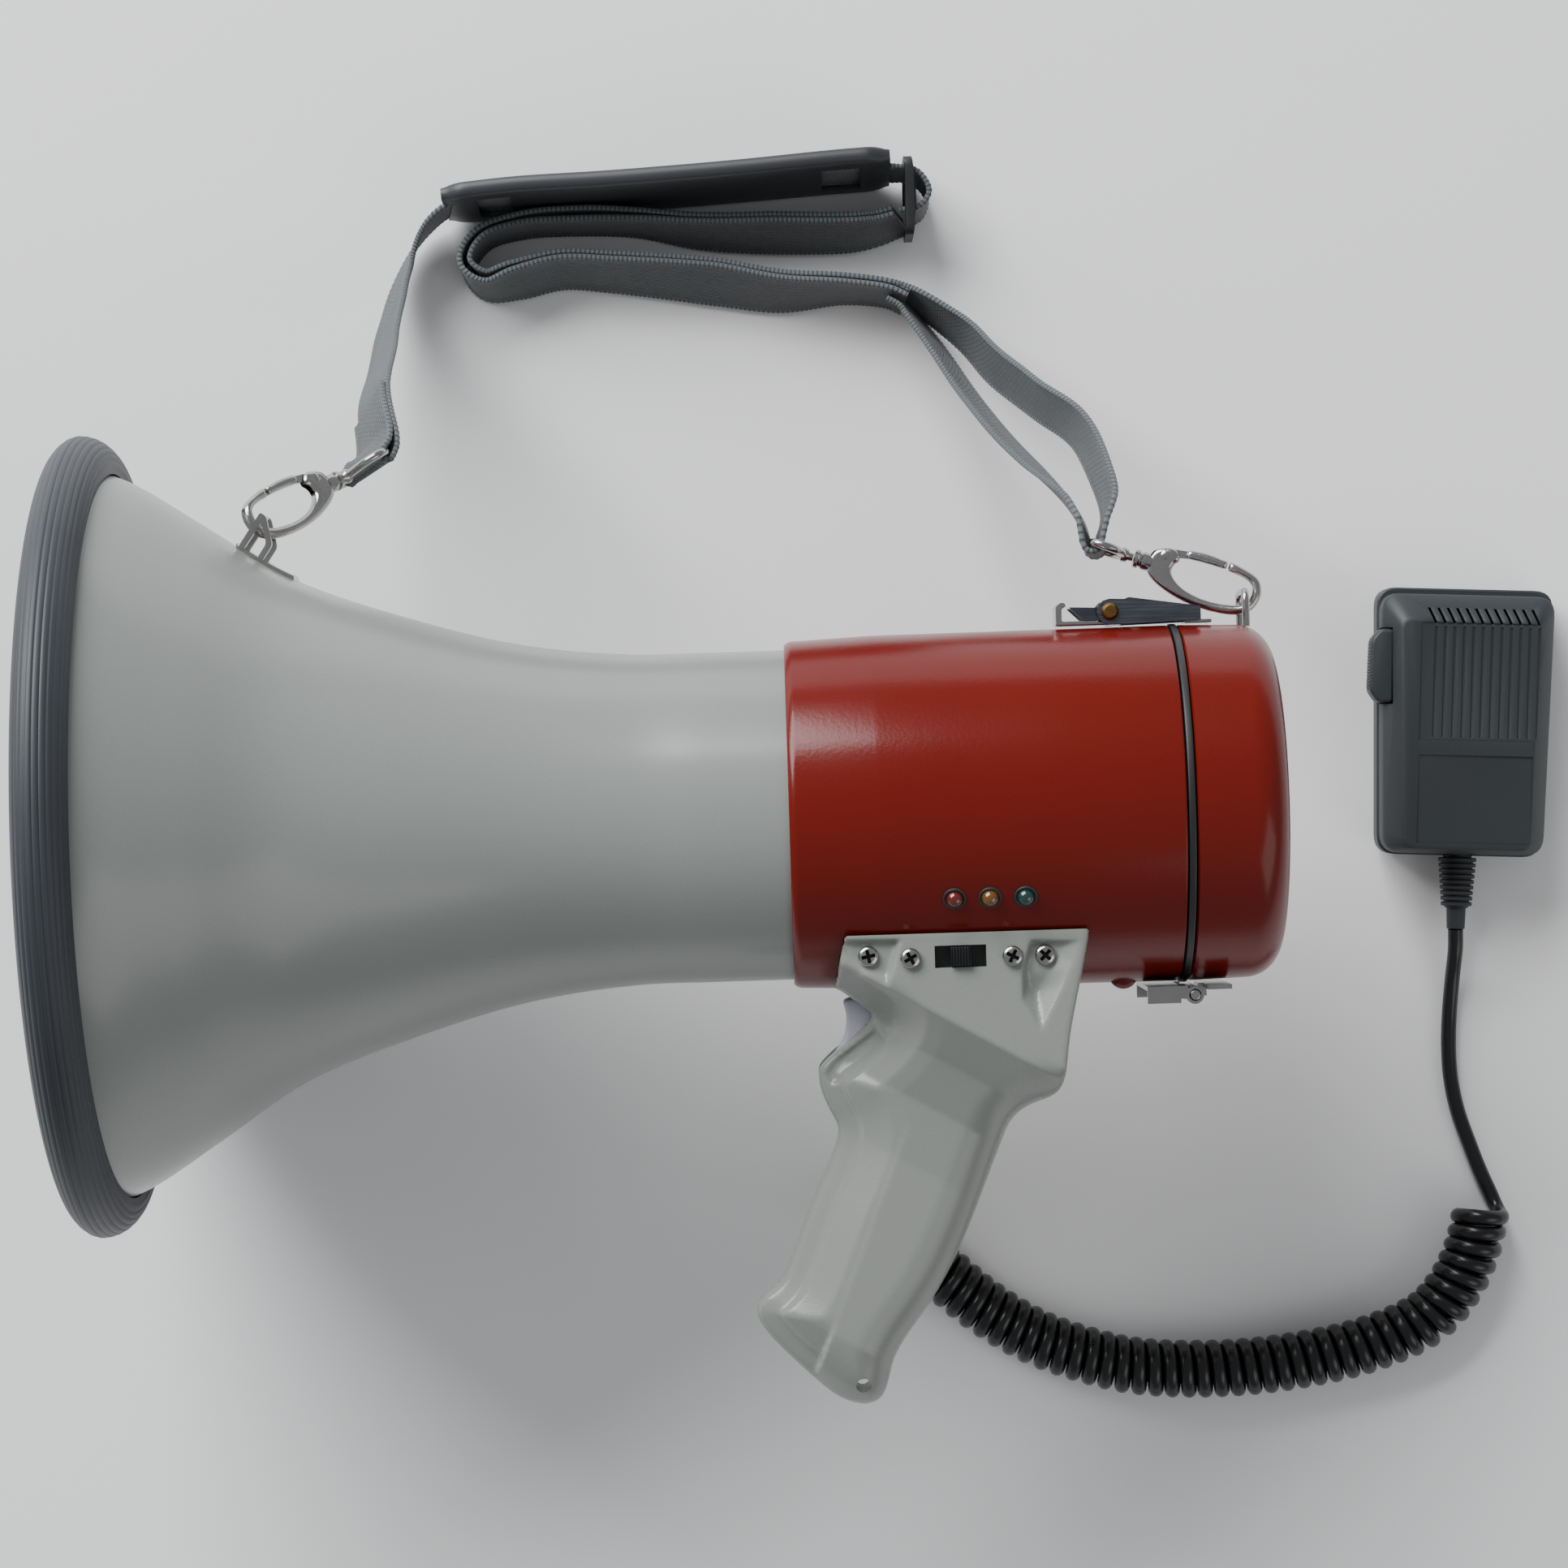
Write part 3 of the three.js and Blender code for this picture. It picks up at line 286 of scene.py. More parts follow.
def cell_look():
    """Jacket of a battery cell: a dark sleeve with a coppery top, split along the horn axis."""
    look = Look("cell_jacket", 0.3)
    x = look.node("ShaderNodeSeparateXYZ", {"Vector": look.where}).outputs["X"]
    cell_length = 0.050
    start = float(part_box("cell_pair_1")[0].x)
    along = look.math("FRACT", look.math("DIVIDE", look.math("SUBTRACT", x, start), cell_length))
    band = look.math("GREATER_THAN", along, 0.7)
    look.paint(look.mix(band, (0.02, 0.025, 0.03), (0.45, 0.22, 0.09)))
    look.link(look.math("MULTIPLY", band, 0.8), look.shader.inputs["Metallic"])
    look.bump(look.noise(400, 3), 0.00002)
    return look.material


def board_look():
    """Circuit board: solder mask over lighter tracks."""
    look = Look("board_green", 0.35)
    on_side = look.node("ShaderNodeMapping",
                        {"Vector": look.where, "Rotation": (0, math.pi / 2, 0)})
    tracks = look.node("ShaderNodeTexBrick", {
        "Vector": on_side.outputs[0], "Scale": 260, "Mortar Size": 0.06, "Brick Width": 1.7,
        "Row Height": 0.6,
    }).outputs["Fac"]
    look.paint(look.mix(tracks, (0.02, 0.10, 0.04), (0.06, 0.24, 0.10)))
    look.bump(tracks, 0.00005)
    return look.material


finishes["webbing"] = webbing_look()
finishes["cell_jacket"] = cell_look()
finishes["board_green"] = board_look()


# ------------------------------------------------------------------ curves and outlines
def smooth_route(points, per_span=8):
    """A centripetal Catmull-Rom curve through the points."""
    p = [Vector(q) for q in points]
    ends = [p[0] * 2 - p[1], *p, p[-1] * 2 - p[-2]]
    route = []
    for a, b, c, d in zip(ends, ends[1:], ends[2:], ends[3:]):
        t = [0.0]
        for u, v in ((a, b), (b, c), (c, d)):
            t.append(t[-1] + math.sqrt((v - u).length))
        for i in range(per_span):
            at = t[1] + (t[2] - t[1]) * i / per_span

            def between(u, v, s, e):
                return u * ((e - at) / (e - s)) + v * ((at - s) / (e - s))
            ab, bc = between(a, b, t[0], t[1]), between(b, c, t[1], t[2])
            cd = between(c, d, t[2], t[3])
            abc, bcd = between(ab, bc, t[0], t[2]), between(bc, cd, t[1], t[3])
            route.append(between(abc, bcd, t[1], t[2]))
    return [*route, p[-1]]


def even(points, step):
    """The same line with points about step apart."""
    line = np.array([tuple(p) for p in points], float)
    along = np.concatenate([[0], np.cumsum(np.linalg.norm(np.diff(line, axis=0), axis=1))])
    at = np.linspace(0, along[-1], max(2, round(along[-1] / step) + 1))
    return [Vector(row) for row in np.stack([np.interp(at, along, c) for c in line.T], axis=1)]


def rounded(points, radius, steps=5, closed=True):
    """The polyline with each corner turned into a curve that starts radius before it."""
    p = [Vector(q) for q in points]
    out = []
    for i, corner in enumerate(p):
        if not closed and i in (0, len(p) - 1):
            out.append(corner)
            continue
        before, after = p[i - 1], p[(i + 1) % len(p)]
        back, ahead = before - corner, after - corner
        start = corner + back.normalized() * min(radius, back.length * 0.48)
        end = corner + ahead.normalized() * min(radius, ahead.length * 0.48)
        for k in range(steps + 1):
            t = k / steps
            out.append(start * (1 - t) ** 2 + corner * (2 * t * (1 - t)) + end * t * t)
    return out


def soft_outline(corners):
    """Rounds each corner by its own third number, or as far as its edges allow."""
    widest = 40     # more than half of any edge
    outline = []
    for i, corner in enumerate(corners):
        three = [corners[i - 1][:2], corner[:2], corners[(i + 1) % len(corners)][:2]]
        outline += rounded(three, corner[2] if len(corner) > 2 else widest, 5, closed=False)[1:-1]
    return outline


def circle(x, y, radius, count):
    turns = [2 * math.pi / count * i for i in range(count)]
    return [Vector((x + radius * math.cos(t), y + radius * math.sin(t))) for t in turns]


def quarter(x, y, radius, count):
    """Points of a profile's quarter turn, from straight out to straight back."""
    turns = np.linspace(0, math.pi / 2, count)
    return [(x + radius * math.sin(a), y + radius * math.cos(a)) for a in turns]


# ------------------------------------------------------------------ meshes
ON_AXIS = Matrix.Translation((0, 0, AXIS))     # z counted from the horn axis
ON_GROUND = Matrix.Identity(4)


def moved(x, y, z=0, base=ON_AXIS):
    return base @ Matrix.Translation((x, y, z))


def tilt(degrees, axis):
    return Matrix.Rotation(math.radians(degrees), 4, axis)


def upright(x, y, base=ON_AXIS):
    """A frame at a point of the base frame, whose x axis points up."""
    return moved(x, y, 0, base) @ tilt(-90, "Y")


def mesh_object(name, verts, faces, where=ON_AXIS):
    """A mesh from points in mm in a local frame; where takes that frame to the modelling frame."""
    mesh = bpy.data.meshes.new(name)
    mesh.from_pydata([place(*(where @ Vector(v))) for v in verts], [], faces)
    mesh.update()
    made = bpy.data.objects.new(name, mesh)
    bpy.context.scene.collection.objects.link(made)
    tidy = bmesh.new()
    tidy.from_mesh(mesh)
    bmesh.ops.recalc_face_normals(tidy, faces=tidy.faces)
    tidy.to_mesh(mesh)
    tidy.free()
    return made


def dress(made, slot, bevel=0.0, sharp=35, segments=2):
    """Material, soft edges and shading."""
    made.data.materials.clear()
    made.data.materials.append(finishes[slot])
    if bevel:
        round_edges(made, bevel, segments)
    made.data.shade_smooth()
    made.data.set_sharp_from_angle(angle=math.radians(sharp))


def finish_piece(made, slot, body="root", replaces=(), bevel=0.0, sharp=35, segments=2):
    """Looks, the body it is attached to, and hides the parts it replaces."""
    dress(made, slot, bevel, sharp, segments)
    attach(made, body)
    if replaces:
        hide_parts(*replaces)


def soften(made, width, segments=2):
    edge = made.modifiers.new("edges", "BEVEL")
    edge.width = width * MM
    edge.segments = segments
    edge.limit_method = "ANGLE"
    edge.angle_limit = math.radians(32)
    edge.use_clamp_overlap = True


def bake_modifiers(made):
    evaluated = made.evaluated_get(bpy.context.evaluated_depsgraph_get())
    mesh = bpy.data.meshes.new_from_object(evaluated)
    made.modifiers.clear()
    made.data = mesh


def round_edges(made, width, segments=2):
    soften(made, width, segments)
    bake_modifiers(made)


def melt(made, voxel, rounds):
    """Remeshes the piece in voxels and evens it out, so that its edges are those of a casting."""
    remesh = made.modifiers.new("remesh", "REMESH")
    remesh.mode = "VOXEL"
    remesh.voxel_size = voxel * MM
    even_out = made.modifiers.new("even", "SMOOTH")
    even_out.factor = 0.5
    even_out.iterations = rounds
    bake_modifiers(made)


def carve(made, tools, operation="DIFFERENCE"):
    for tool in tools:
        change = made.modifiers.new("carve", "BOOLEAN")
        change.object = tool
        change.operation = operation
        change.solver = "MANIFOLD"
        bake_modifiers(made)
        bpy.data.objects.remove(tool)
    return made


def turned(name, profile, where=ON_AXIS, facets=AROUND):
    """A solid of revolution about local x. Its (x, radius) profile ends on the axis or closes."""
    verts, rings = [], []
    for x, r in profile:
        count = facets if r > 1e-6 else 1
        rings.append(range(len(verts), len(verts) + count))
        for i in range(count):
            angle = 2 * math.pi * i / facets
            verts.append((x, r * math.cos(angle), r * math.sin(angle)))
    on_axis = len(rings[0]) == 1 and len(rings[-1]) == 1
    faces = []
    for a, b in zip(rings, rings[1:] if on_axis else [*rings[1:], rings[0]]):
        for i in range(facets):
            j = (i + 1) % facets
            corners = [a[i % len(a)], a[j % len(a)], b[j % len(b)], b[i % len(b)]]
            faces.append(list(dict.fromkeys(corners)))
    return mesh_object(name, verts, faces, where)


def slab(name, outline, low, high, where=ON_AXIS, holes=()):
    """An outline in local x and y between two heights."""
    loops = [[Vector((*p, 0)) for p in loop] for loop in (outline, *holes)]
    flat = [p for loop in loops for p in loop]
    n = len(flat)
    caps = tessellate_polygon(loops)
    faces = [list(t) for t in caps] + [[i + n for i in reversed(t)] for t in caps]
    start = 0
    for loop in loops:
        m = len(loop)
        for i in range(start, start + m):
            j = start + (i + 1 - start) % m
            faces.append([i, j, j + n, i + n])
        start += m
    verts = [(p.x, p.y, low) for p in flat] + [(p.x, p.y, high) for p in flat]
    made = mesh_object(name, verts, faces, where)
    merge = bmesh.new()
    merge.from_mesh(made.data)
    if not holes:
        bmesh.ops.dissolve_limit(merge, angle_limit=math.radians(1), verts=merge.verts,
                                 edges=merge.edges)
    merge.to_mesh(made.data)
    merge.free()
    return made


def block(name, low, high, where=ON_AXIS):
    corners = [(low[0], low[1]), (high[0], low[1]), (high[0], high[1]), (low[0], high[1])]
    return slab(name, corners, low[2], high[2], where)


def swept(name, path, section_at, where=ON_AXIS, closed=False, uv=None):
    """Rings of points along a path. section_at(i) gives the ring at path point i."""
    rings = [section_at(i) for i in range(len(path))]
    m = len(rings[0])
    verts = [p for ring in rings for p in ring]
    count = len(rings) if closed else len(rings) - 1
    faces = []
    for i in range(count):
        a, b = i * m, (i + 1) % len(rings) * m
        faces += [[a + k, a + (k + 1) % m, b + (k + 1) % m, b + k] for k in range(m)]
    if not closed:
        faces += [list(range(m)), list(range(len(verts) - m, len(verts)))]
    made = mesh_object(name, verts, faces, where)
    if uv:
        layer = made.data.uv_layers.new(name="strap")
        for loop in made.data.loops:
            layer.data[loop.index].uv = uv(loop.vertex_index // m, loop.vertex_index % m)
    return made


def tube(name, path, radius, where=ON_AXIS, sides=14, closed=False):
    """A round bar along a path."""
    n = len(path)
    tangents = []
    for i in range(n):
        before = path[i - 1] if closed or i else path[0]
        after = path[(i + 1) % n] if closed or i < n - 1 else path[-1]
        tangents.append((after - before).normalized())
    side = tangents[0].orthogonal().normalized()
    frames = []
    for t in tangents:
        side = (side - t * side.dot(t)).normalized()
        frames.append((side.copy(), t.cross(side)))

    def ring(i):
        u, v = frames[i]
        turn = 2 * math.pi / sides
        return [path[i] + (u * math.cos(k * turn) + v * math.sin(k * turn)) * radius
                for k in range(sides)]
    return swept(name, path, ring, where, closed)


# ------------------------------------------------------------------ floor
def make_floor():
    half = 8
    mesh = bpy.data.meshes.new("floor")
    corners = [(-half, -half, 0), (half, -half, 0), (half, half, 0), (-half, half, 0)]
    mesh.from_pydata(corners, [], [(0, 1, 2, 3)])
    floor = bpy.data.objects.new("floor", mesh)
    bpy.context.scene.collection.objects.link(floor)
    paper = Look("paper", 0.85)
    mottle = paper.spread(paper.noise(3, 4), 0, 1)
    paper.paint(paper.mix(mottle, (0.92, 0.92, 0.92), (0.94, 0.94, 0.94)))
    mesh.materials.append(paper.material)


make_floor()

# ------------------------------------------------------------------ curly cord
TAIL = [
    (222, -126, 77.7), (222, -126, 66), (222.1, -126.3, 52), (222.8, -128, 38),
    (224.1, -130.9, 26), (224.8, -132.8, 17), (225, -133.4, COIL_HEIGHT),
]
COIL = [
    (230.5, -129.5), (236.2, -137.4), (244.7, -146.5), (256.3, -156.5), (271.2, -165.8),
    (287.4, -172.1), (302.5, -175.9), (327.8, -177.5), (353.2, -175.7), (376.1, -171.1),
    (394.1, -163.3), (403.3, -153), (408.7, -141.8), (411.4, -131.2),
]
LEAD = [
    (417.9, -132.8, COIL_HEIGHT), (417.7, -132.1, 6), (416.9, -129.8, 3.6), (415.7, -126.4, 2.6),
    (412.6, -119, 2.5), (409.4, -110, 2.5), (406.2, -100, 2.5), (404.4, -90, 2.5), (404, -80, 2.5),
    (404.6, -69, 2.7), (405.6, -58, 4.6), (406.2, -49, 8.6), (406.3, -42.9, 9.5),
]
CORD_STEP = 2              # between points of the tail and the lead


def coil_line():
    """The wound cord's centreline. At both ends it runs straight down, on its axis's right."""
    per_turn = 20
    middle = even(smooth_route([(x, y, COIL_HEIGHT) for x, y in COIL]), 0.5)
    steps = COIL_TURNS * per_turn
    radius = COIL_RADIUS - CORD_RADIUS
    line = []
    for i in range(steps + 1):
        along = i / steps * (len(middle) - 1)
        k = min(int(along), len(middle) - 2)
        centre = middle[k].lerp(middle[k + 1], along - k)
        forward = (middle[k + 1] - middle[k]).normalized()
        side = Vector((-forward.y, forward.x, 0))
        turn = 2 * math.pi * i / per_turn - math.pi / 2
        line.append(centre + side * radius * math.sin(turn)
                    - Vector((0, 0, 1)) * radius * math.cos(turn))
    return line


def make_cord():
    tail, lead = (even(smooth_route(route), CORD_STEP) for route in (TAIL, LEAD))
    line = [*tail[:-1], *coil_line(), *lead[1:]]
    curve = bpy.data.curves.new("cord", "CURVE")
    curve.dimensions = "3D"
    curve.bevel_depth = CORD_RADIUS * MM
    curve.bevel_resolution = 4
    curve.use_fill_caps = True
    spline = curve.splines.new("POLY")
    spline.points.add(len(line) - 1)
    for point, at in zip(spline.points, line):
        point.co = (*place(*at), 1)
    spline.use_smooth = True
    cord = bpy.data.objects.new("curly_cord", curve)
    bpy.context.scene.collection.objects.link(cord)
    curve.materials.append(finishes["cord_rubber"])
    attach(cord, "root")
    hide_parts("cord_tail", "coil_cord", "lead_cord")


# ------------------------------------------------------------------ horn
BELL_OUTSIDE = smooth_route([
    (2, 106.2), (14.4, 100.9), (34.8, 87.9), (58.8, 72.5), (91, 60.4), (124, 51.4), (155, 47.6),
    (176, NECK_RADIUS), (NECK_END, NECK_RADIUS),
], 7)


def make_bell():
    inside = [(x, r - BELL_WALL) for x, r in BELL_OUTSIDE if x < BULKHEAD_X - 4]
    bore, throat, back = NECK_RADIUS - BELL_WALL, 9.6, BULKHEAD_X + 3
    bulkhead = [(NECK_END, bore), (back, bore), (back, throat), (BULKHEAD_X, throat),
                (BULKHEAD_X, bore - 1.5), (BULKHEAD_X - 1.2, bore - 0.2)]
    bell = turned("horn_bell", [*BELL_OUTSIDE, *bulkhead, *reversed(inside)])
    finish_piece(bell, "bell_plastic", replaces=["bell"])


def make_rim():
    """The bead's outer face has fine ribs round it, cut into its smooth section."""
    face = even(smooth_route([
        (9.7, 105.8), (8.6, 110.2), (5, 113.8), (0, RIM_RADIUS), (-3.4, 113.2), (-5.4, 110),
        (-5.5, 105.2), (-3.2, 101), (0.4, 99.4), (4.4, 99.2),
    ]), 0.22)
    core = Vector((2, 106))     # a point inside the section
    rib_pitch, depth, ribbed = 1.95, 0.34, 20.5
    profile = []
    along = 0
    for i, point in enumerate(face):
        if i:
            along += (point - face[i - 1]).length
        lean = (face[min(i + 1, len(face) - 1)] - face[max(i - 1, 0)]).normalized()
        inward = Vector((lean.y, -lean.x)) * -1
        if (core - point).dot(inward) < 0:
            inward = -inward
        wave = 2 * (along / rib_pitch % 1) - 1
        notch = 1 - math.sqrt(max(0, 1 - wave * wave)) if along < ribbed else 0
        profile.append(tuple(point + inward * depth * notch))
    under = [(6.4, 100.4), (1.6, 103.2), (1.6, 106.9), (5.4, 105.3), (9.2, 103.9)]
    rim = turned("rubber_rim", [*profile, *under])
    finish_piece(rim, "rim_rubber", replaces=["bell_rim"], sharp=60)


def make_reflector():
    outside = smooth_route([
        (52, 0), (53, 8), (57, 16.5), (65, 23.5), (82, 28.4), (112, 31), (140, 33), (147.4, 36),
    ], 5)
    inside = smooth_route([
        (149, 35.4), (141, 31), (112, 29), (83, 26.4), (67, 21.8), (59.4, 15.6), (55.4, 8),
        (54.4, 0),
    ], 5)
    profile = [(x, max(r, 0)) for x, r in [*outside, *inside]]
    profile[0], profile[-1] = (52, 0), (54.4, 0)
    parts = [turned("cup", profile, facets=72)]
    for angle in (90, 210, 330):
        outline = [(100, 29), (100, 53.6), (120, 48.6), (140, 45.6), (140, 32)]
        parts.append(slab("fin", outline, -1.2, 1.2, ON_AXIS @ tilt(angle, "X")))
    cup = carve(parts[0], parts[1:], "UNION")
    finish_piece(cup, "bell_plastic", replaces=["reflector"], bevel=0.4)


# ------------------------------------------------------------------ body and battery cover
LED_PLACES = [244.7, 254.6, 264.5]
LED_ANGLE = 28.5
PANEL_SCREWS = [(232.1, -40.7), (260.6, -40.9)]
BRACKET_SCREWS = [(220.4, -39.9), (269.8, -41)]


def led_frame(x):
    return moved(x, 0) @ (tilt(LED_ANGLE, "X") @ tilt(-90, "Y"))


def plug(name, low, high, radius, where, facets=32):
    return turned(name, [(low, 0), (low, radius), (high, radius), (high, 0)], where, facets)


def pin(name, half, tip, radius, where):
    """A pin with chamfered ends, from -half to half along local x."""
    edge = half - 0.3
    profile = [(-half, 0), (-half, tip), (-edge, radius), (edge, radius), (half, tip), (half, 0)]
    return turned(name, profile, where, 20)


def make_body():
    body = turned("red_body", rounded([
        (BODY_FRONT, NECK_RADIUS + GAP), (BODY_FRONT, 48.9), (BODY_FRONT + 1.6, 49.8),
        (BODY_FRONT + 25, 50.8), (BODY_REAR, BODY_RADIUS), (BODY_REAR, BODY_BORE),
        (NECK_END + 2, BODY_BORE), (NECK_END + 1, NECK_RADIUS + GAP),
    ], 0.7, 3))
    ball = [(4.2 * math.cos(a), 4.2 * math.sin(a)) for a in np.linspace(0, math.pi, 17)]
    ball[0], ball[-1] = (ball[0][0], 0), (ball[-1][0], 0)
    boss = turned("boss", ball, moved(293.8, -48.6, 6), 32)
    carve(boss, [plug("bore", 280, 308, BODY_RADIUS - 1, ON_AXIS, 96)])
    carve(body, [boss], "UNION")
    holes = [plug("hole", 40, 60, 2.8, led_frame(x)) for x in LED_PLACES]
    holes.append(block("window", (229.4, -48, 20), (263.6, -36.2, 60)))
    holes += [plug("hole", 20, 60, 2.1, upright(x, y), 16) for x, y in BRACKET_SCREWS]
    carve(body, holes)
    finish_piece(body, "red_plastic", replaces=["body_shell"])


def make_cover():
    front = SEAL_REAR + GAP
    ring = turned("seam_seal", rounded([
        (BODY_REAR + GAP, 48.6), (BODY_REAR + GAP, 51.5), (SEAL_REAR, 51.5), (SEAL_REAR, 48.6),
    ], 0.5, 4))
    finish_piece(ring, "black_rubber", replaces=["cover_seal"])

    def shell(inset):
        bend, radius = 10 - inset, 50.7 - inset
        return quarter(COVER_REAR - inset - bend, radius - bend, bend, 13)

    outer = [(front + 0.1, BODY_RADIUS - 0.5), (front + 0.6, BODY_RADIUS), *shell(0),
             (COVER_REAR, 0)]
    inner = [(COVER_REAR - COVER_WALL, 0), *reversed(shell(COVER_WALL)),
             (front, BODY_RADIUS - COVER_WALL)]
    cover = turned("battery_cover", [*inner, *outer])
    finish_piece(cover, "red_plastic", body="rear_cover", replaces=["rear_cover"])


def make_leds():
    radius = 2.45
    slots = ("led_red", "led_amber", "led_green")
    for x, name, slot in zip(LED_PLACES, ("low", "mid", "high"), slots):
        dome = quarter(51.2, 0, radius, 9)
        dome[-1] = (dome[-1][0], 0)
        lens = turned(f"led_{name}_lens", [(45, 0), (45, radius), *dome], led_frame(x), 32)
        finish_piece(lens, slot, replaces=[f"led_{name}"], sharp=50)
        bezel = turned(f"led_{name}_bezel", rounded([
            (49.4, 2.5), (51.5, 2.5), (51.5, 3.3), (50.3, 3.3), (50.3, 2.75), (49.4, 2.75),
        ], 0.25, 3), led_frame(x), 32)
        finish_piece(bezel, "inner_plastic")


make_bell()
make_rim()
make_reflector()
make_body()
make_cover()
make_leds()

# ------------------------------------------------------------------ pistol grip
# Outline of the grip; a third number is the radius of a corner that stays crisp.
GRIP_OUTLINE = [
    (213.9, -32.1, 1.4), (282.7, -33.1, 1.4), (279.7, -47.5), (276.1, -62.5), (274.4, -77),
    (272.6, -81.8), (264.8, -85.4), (260.7, -88.6), (258.3, -93.2), (248.9, -116.5),
    (242.6, -130), (236.2, -140.6), (225, -155), (222.8, -164.7), (220.6, -168.6),
    (216.6, -170.1), (210.8, -168.8), (205.1, -165.1), (190.8, -150.8), (186.6, -144.9),
    (185.7, -141.3), (187.2, -138.1), (192.7, -134.3), (195.6, -129.6), (202.8, -111),
    (208.1, -100.2), (211.9, -90.5), (207.4, -82.9), (205.1, -74.4), (206.9, -70.5),
    (217.6, -62.9), (221.8, -57.4, 1.5), (212.4, -50.1, 1), (210.6, -49.6, 1), (213.3, -37.3),
]
TRIGGER_WELL = [
    (203, -50.2), (222, -50.2), (229, -55), (229, -60), (236, -60), (236, -73), (229, -73),
    (226, -76.4), (203, -76.4),
]
GRIP_CAVITY = [
    (226, -28), (278.6, -28), (273, -60), (270, -74), (257, -84), (251, -100), (239, -128),
    (222, -150), (214, -160), (206, -158), (196, -146), (198, -138), (207, -118), (217, -96),
    (226, -82), (234, -72), (234, -56), (226, -49),
]
FRONT_POCKET = [(213.4, -35.2), (229.8, -35.4), (225.7, -48.9), (211.9, -41.6)]
REAR_SCOOP = [
    (263, -45.7), (265.5, -36.5), (279.8, -37.3), (278, -43.1), (270.7, -57.1), (266.3, -59.2),
    (263.1, -53.8),
]
NOSE_FACET = [
    (222.4, -60.9), (209.8, -70.3), (207, -74.2), (209.2, -77.6), (214.4, -76.4), (226.4, -66.4),
]
TRIGGER_PIVOT = (219.3, -56)
SWITCH = (246.1, -40.6)
WRIST_HOLE = (215.8, -163.4)
GLAND = (222, -126)
BRACKET_SINK = 2.4         # the outer screws sit this much below the panel


def from_edges(x, y, polygon):
    """Distances of grid points from each edge of a polygon, positive on the inner side."""
    corners = np.array([tuple(p)[:2] for p in polygon], float)
    ends = np.roll(corners, -1, axis=0)
    area = np.sum(corners[:, 0] * ends[:, 1] - ends[:, 0] * corners[:, 1])
    found = []
    for a, b in zip(corners, ends):
        along = (b - a) / np.linalg.norm(b - a)
        found.append(((y - a[1]) * along[0] - (x - a[0]) * along[1]) * np.sign(area))
    return found


def from_outline(x, y, outline):
    """Signed distance of grid points from a closed outline, positive inside."""
    corners = np.array([tuple(p) for p in outline], float)
    ends = np.roll(corners, -1, axis=0)
    nearest = np.full(x.shape, 1e9)
    inside = np.zeros(x.shape, bool)
    for a, b in zip(corners, ends):
        d = b - a
        t = np.clip(((x - a[0]) * d[0] + (y - a[1]) * d[1]) / max(d @ d, 1e-12), 0, 1)
        nearest = np.minimum(nearest, np.hypot(x - a[0] - t * d[0], y - a[1] - t * d[1]))
        if a[1] != b[1]:
            inside ^= ((a[1] > y) != (b[1] > y)) & (x < d[0] * (y - a[1]) / d[1] + a[0])
    return np.where(inside, nearest, -nearest)


def ease(value, low, high):
    t = np.clip((value - low) / (high - low), 0, 1)
    return t * t * (3 - 2 * t)


def round_over(distance, reach):
    """1 well inside an edge, falling to 0 at the edge on a quarter circle."""
    t = 1 - np.clip(distance / reach, 0, 1)
    return np.sqrt(np.maximum(0, 1 - t * t))


def grip_height(x, y, outline, detailed):
    """Height of the grip's surface above its middle plane."""
    edge = from_outline(x, y, outline)
    down = -0.495 * (x - 225.7) - 0.869 * (y + 48.9)      # square to the creases under the panel
    level = np.interp(down, [0, 11.3, 25, 42, 95, 106, 112],
                      [PANEL_HALF_WIDTH, 28, 20.5, 17.5, 16, 12.5, 9])
    front_side = (x - 236) * (-158 + 75) - (y + 75) * (203 - 236) > 0
    front = np.interp(edge, [0, 0.8, 6, 7, 15, 20], [0.3, 0.5, 0.62, 0.74, 0.97, 1])
    rear = 0.15 + 0.85 * round_over(edge, 13)
    handle = np.where(front_side, front, rear)
    panel = 1 - 0.03 * (1 - round_over(edge, 1.2))
    share = ease(down, -4, 14)
    height = level * (panel * (1 - share) + handle * share)
    facet = np.min(from_edges(x, y, NOSE_FACET), axis=0)
    height -= 1.8 * np.clip(facet / 1.4, 0, 1)
    if detailed:
        top, right, bottom, left = from_edges(x, y, FRONT_POCKET)
        wide = np.minimum.reduce([top, left, right * 0.6, bottom * 0.25])
        height -= BRACKET_SINK * np.clip(wide / 0.8, 0, 1)
        left, top, *far, last, low = from_edges(x, y, REAR_SCOOP)
        wide = np.minimum.reduce([far[0] * 0.22, far[1] * 0.22, last * 0.3, left, low * 0.7, top])
        height -= (BRACKET_SINK + 1.6 * ease(-y, 45, 51)) * np.clip(wide / 1.2, 0, 1)
    return height


def height_block(name, height, low, x_range, y_range, step, where):
    """A solid between a flat floor and a height field."""
    xs, ys = np.arange(*x_range, step), np.arange(*y_range, step)
    x, y = np.meshgrid(xs, ys)
    z = height(x, y)
    n, m = x.shape
    top = np.stack([x, y, z], axis=-1).reshape(-1, 3)
    under = np.stack([x, y, np.full_like(z, low)], axis=-1).reshape(-1, 3)
    at = np.arange(n * m).reshape(n, m)
    quads = np.stack([at[:-1, :-1], at[:-1, 1:], at[1:, 1:], at[1:, :-1]], axis=-1).reshape(-1, 4)
    rim = [*at[0, :], *at[1:, -1], *at[-1, -2::-1], *at[-2:0:-1, 0]]
    walls = [[rim[i - 1], rim[i], rim[i] + n * m, rim[i - 1] + n * m] for i in range(len(rim))]
    faces = [*quads.tolist(), *(quads[:, ::-1] + n * m).tolist(), *walls]
    return mesh_object(name, [*top.tolist(), *under.tolist()], faces, where)


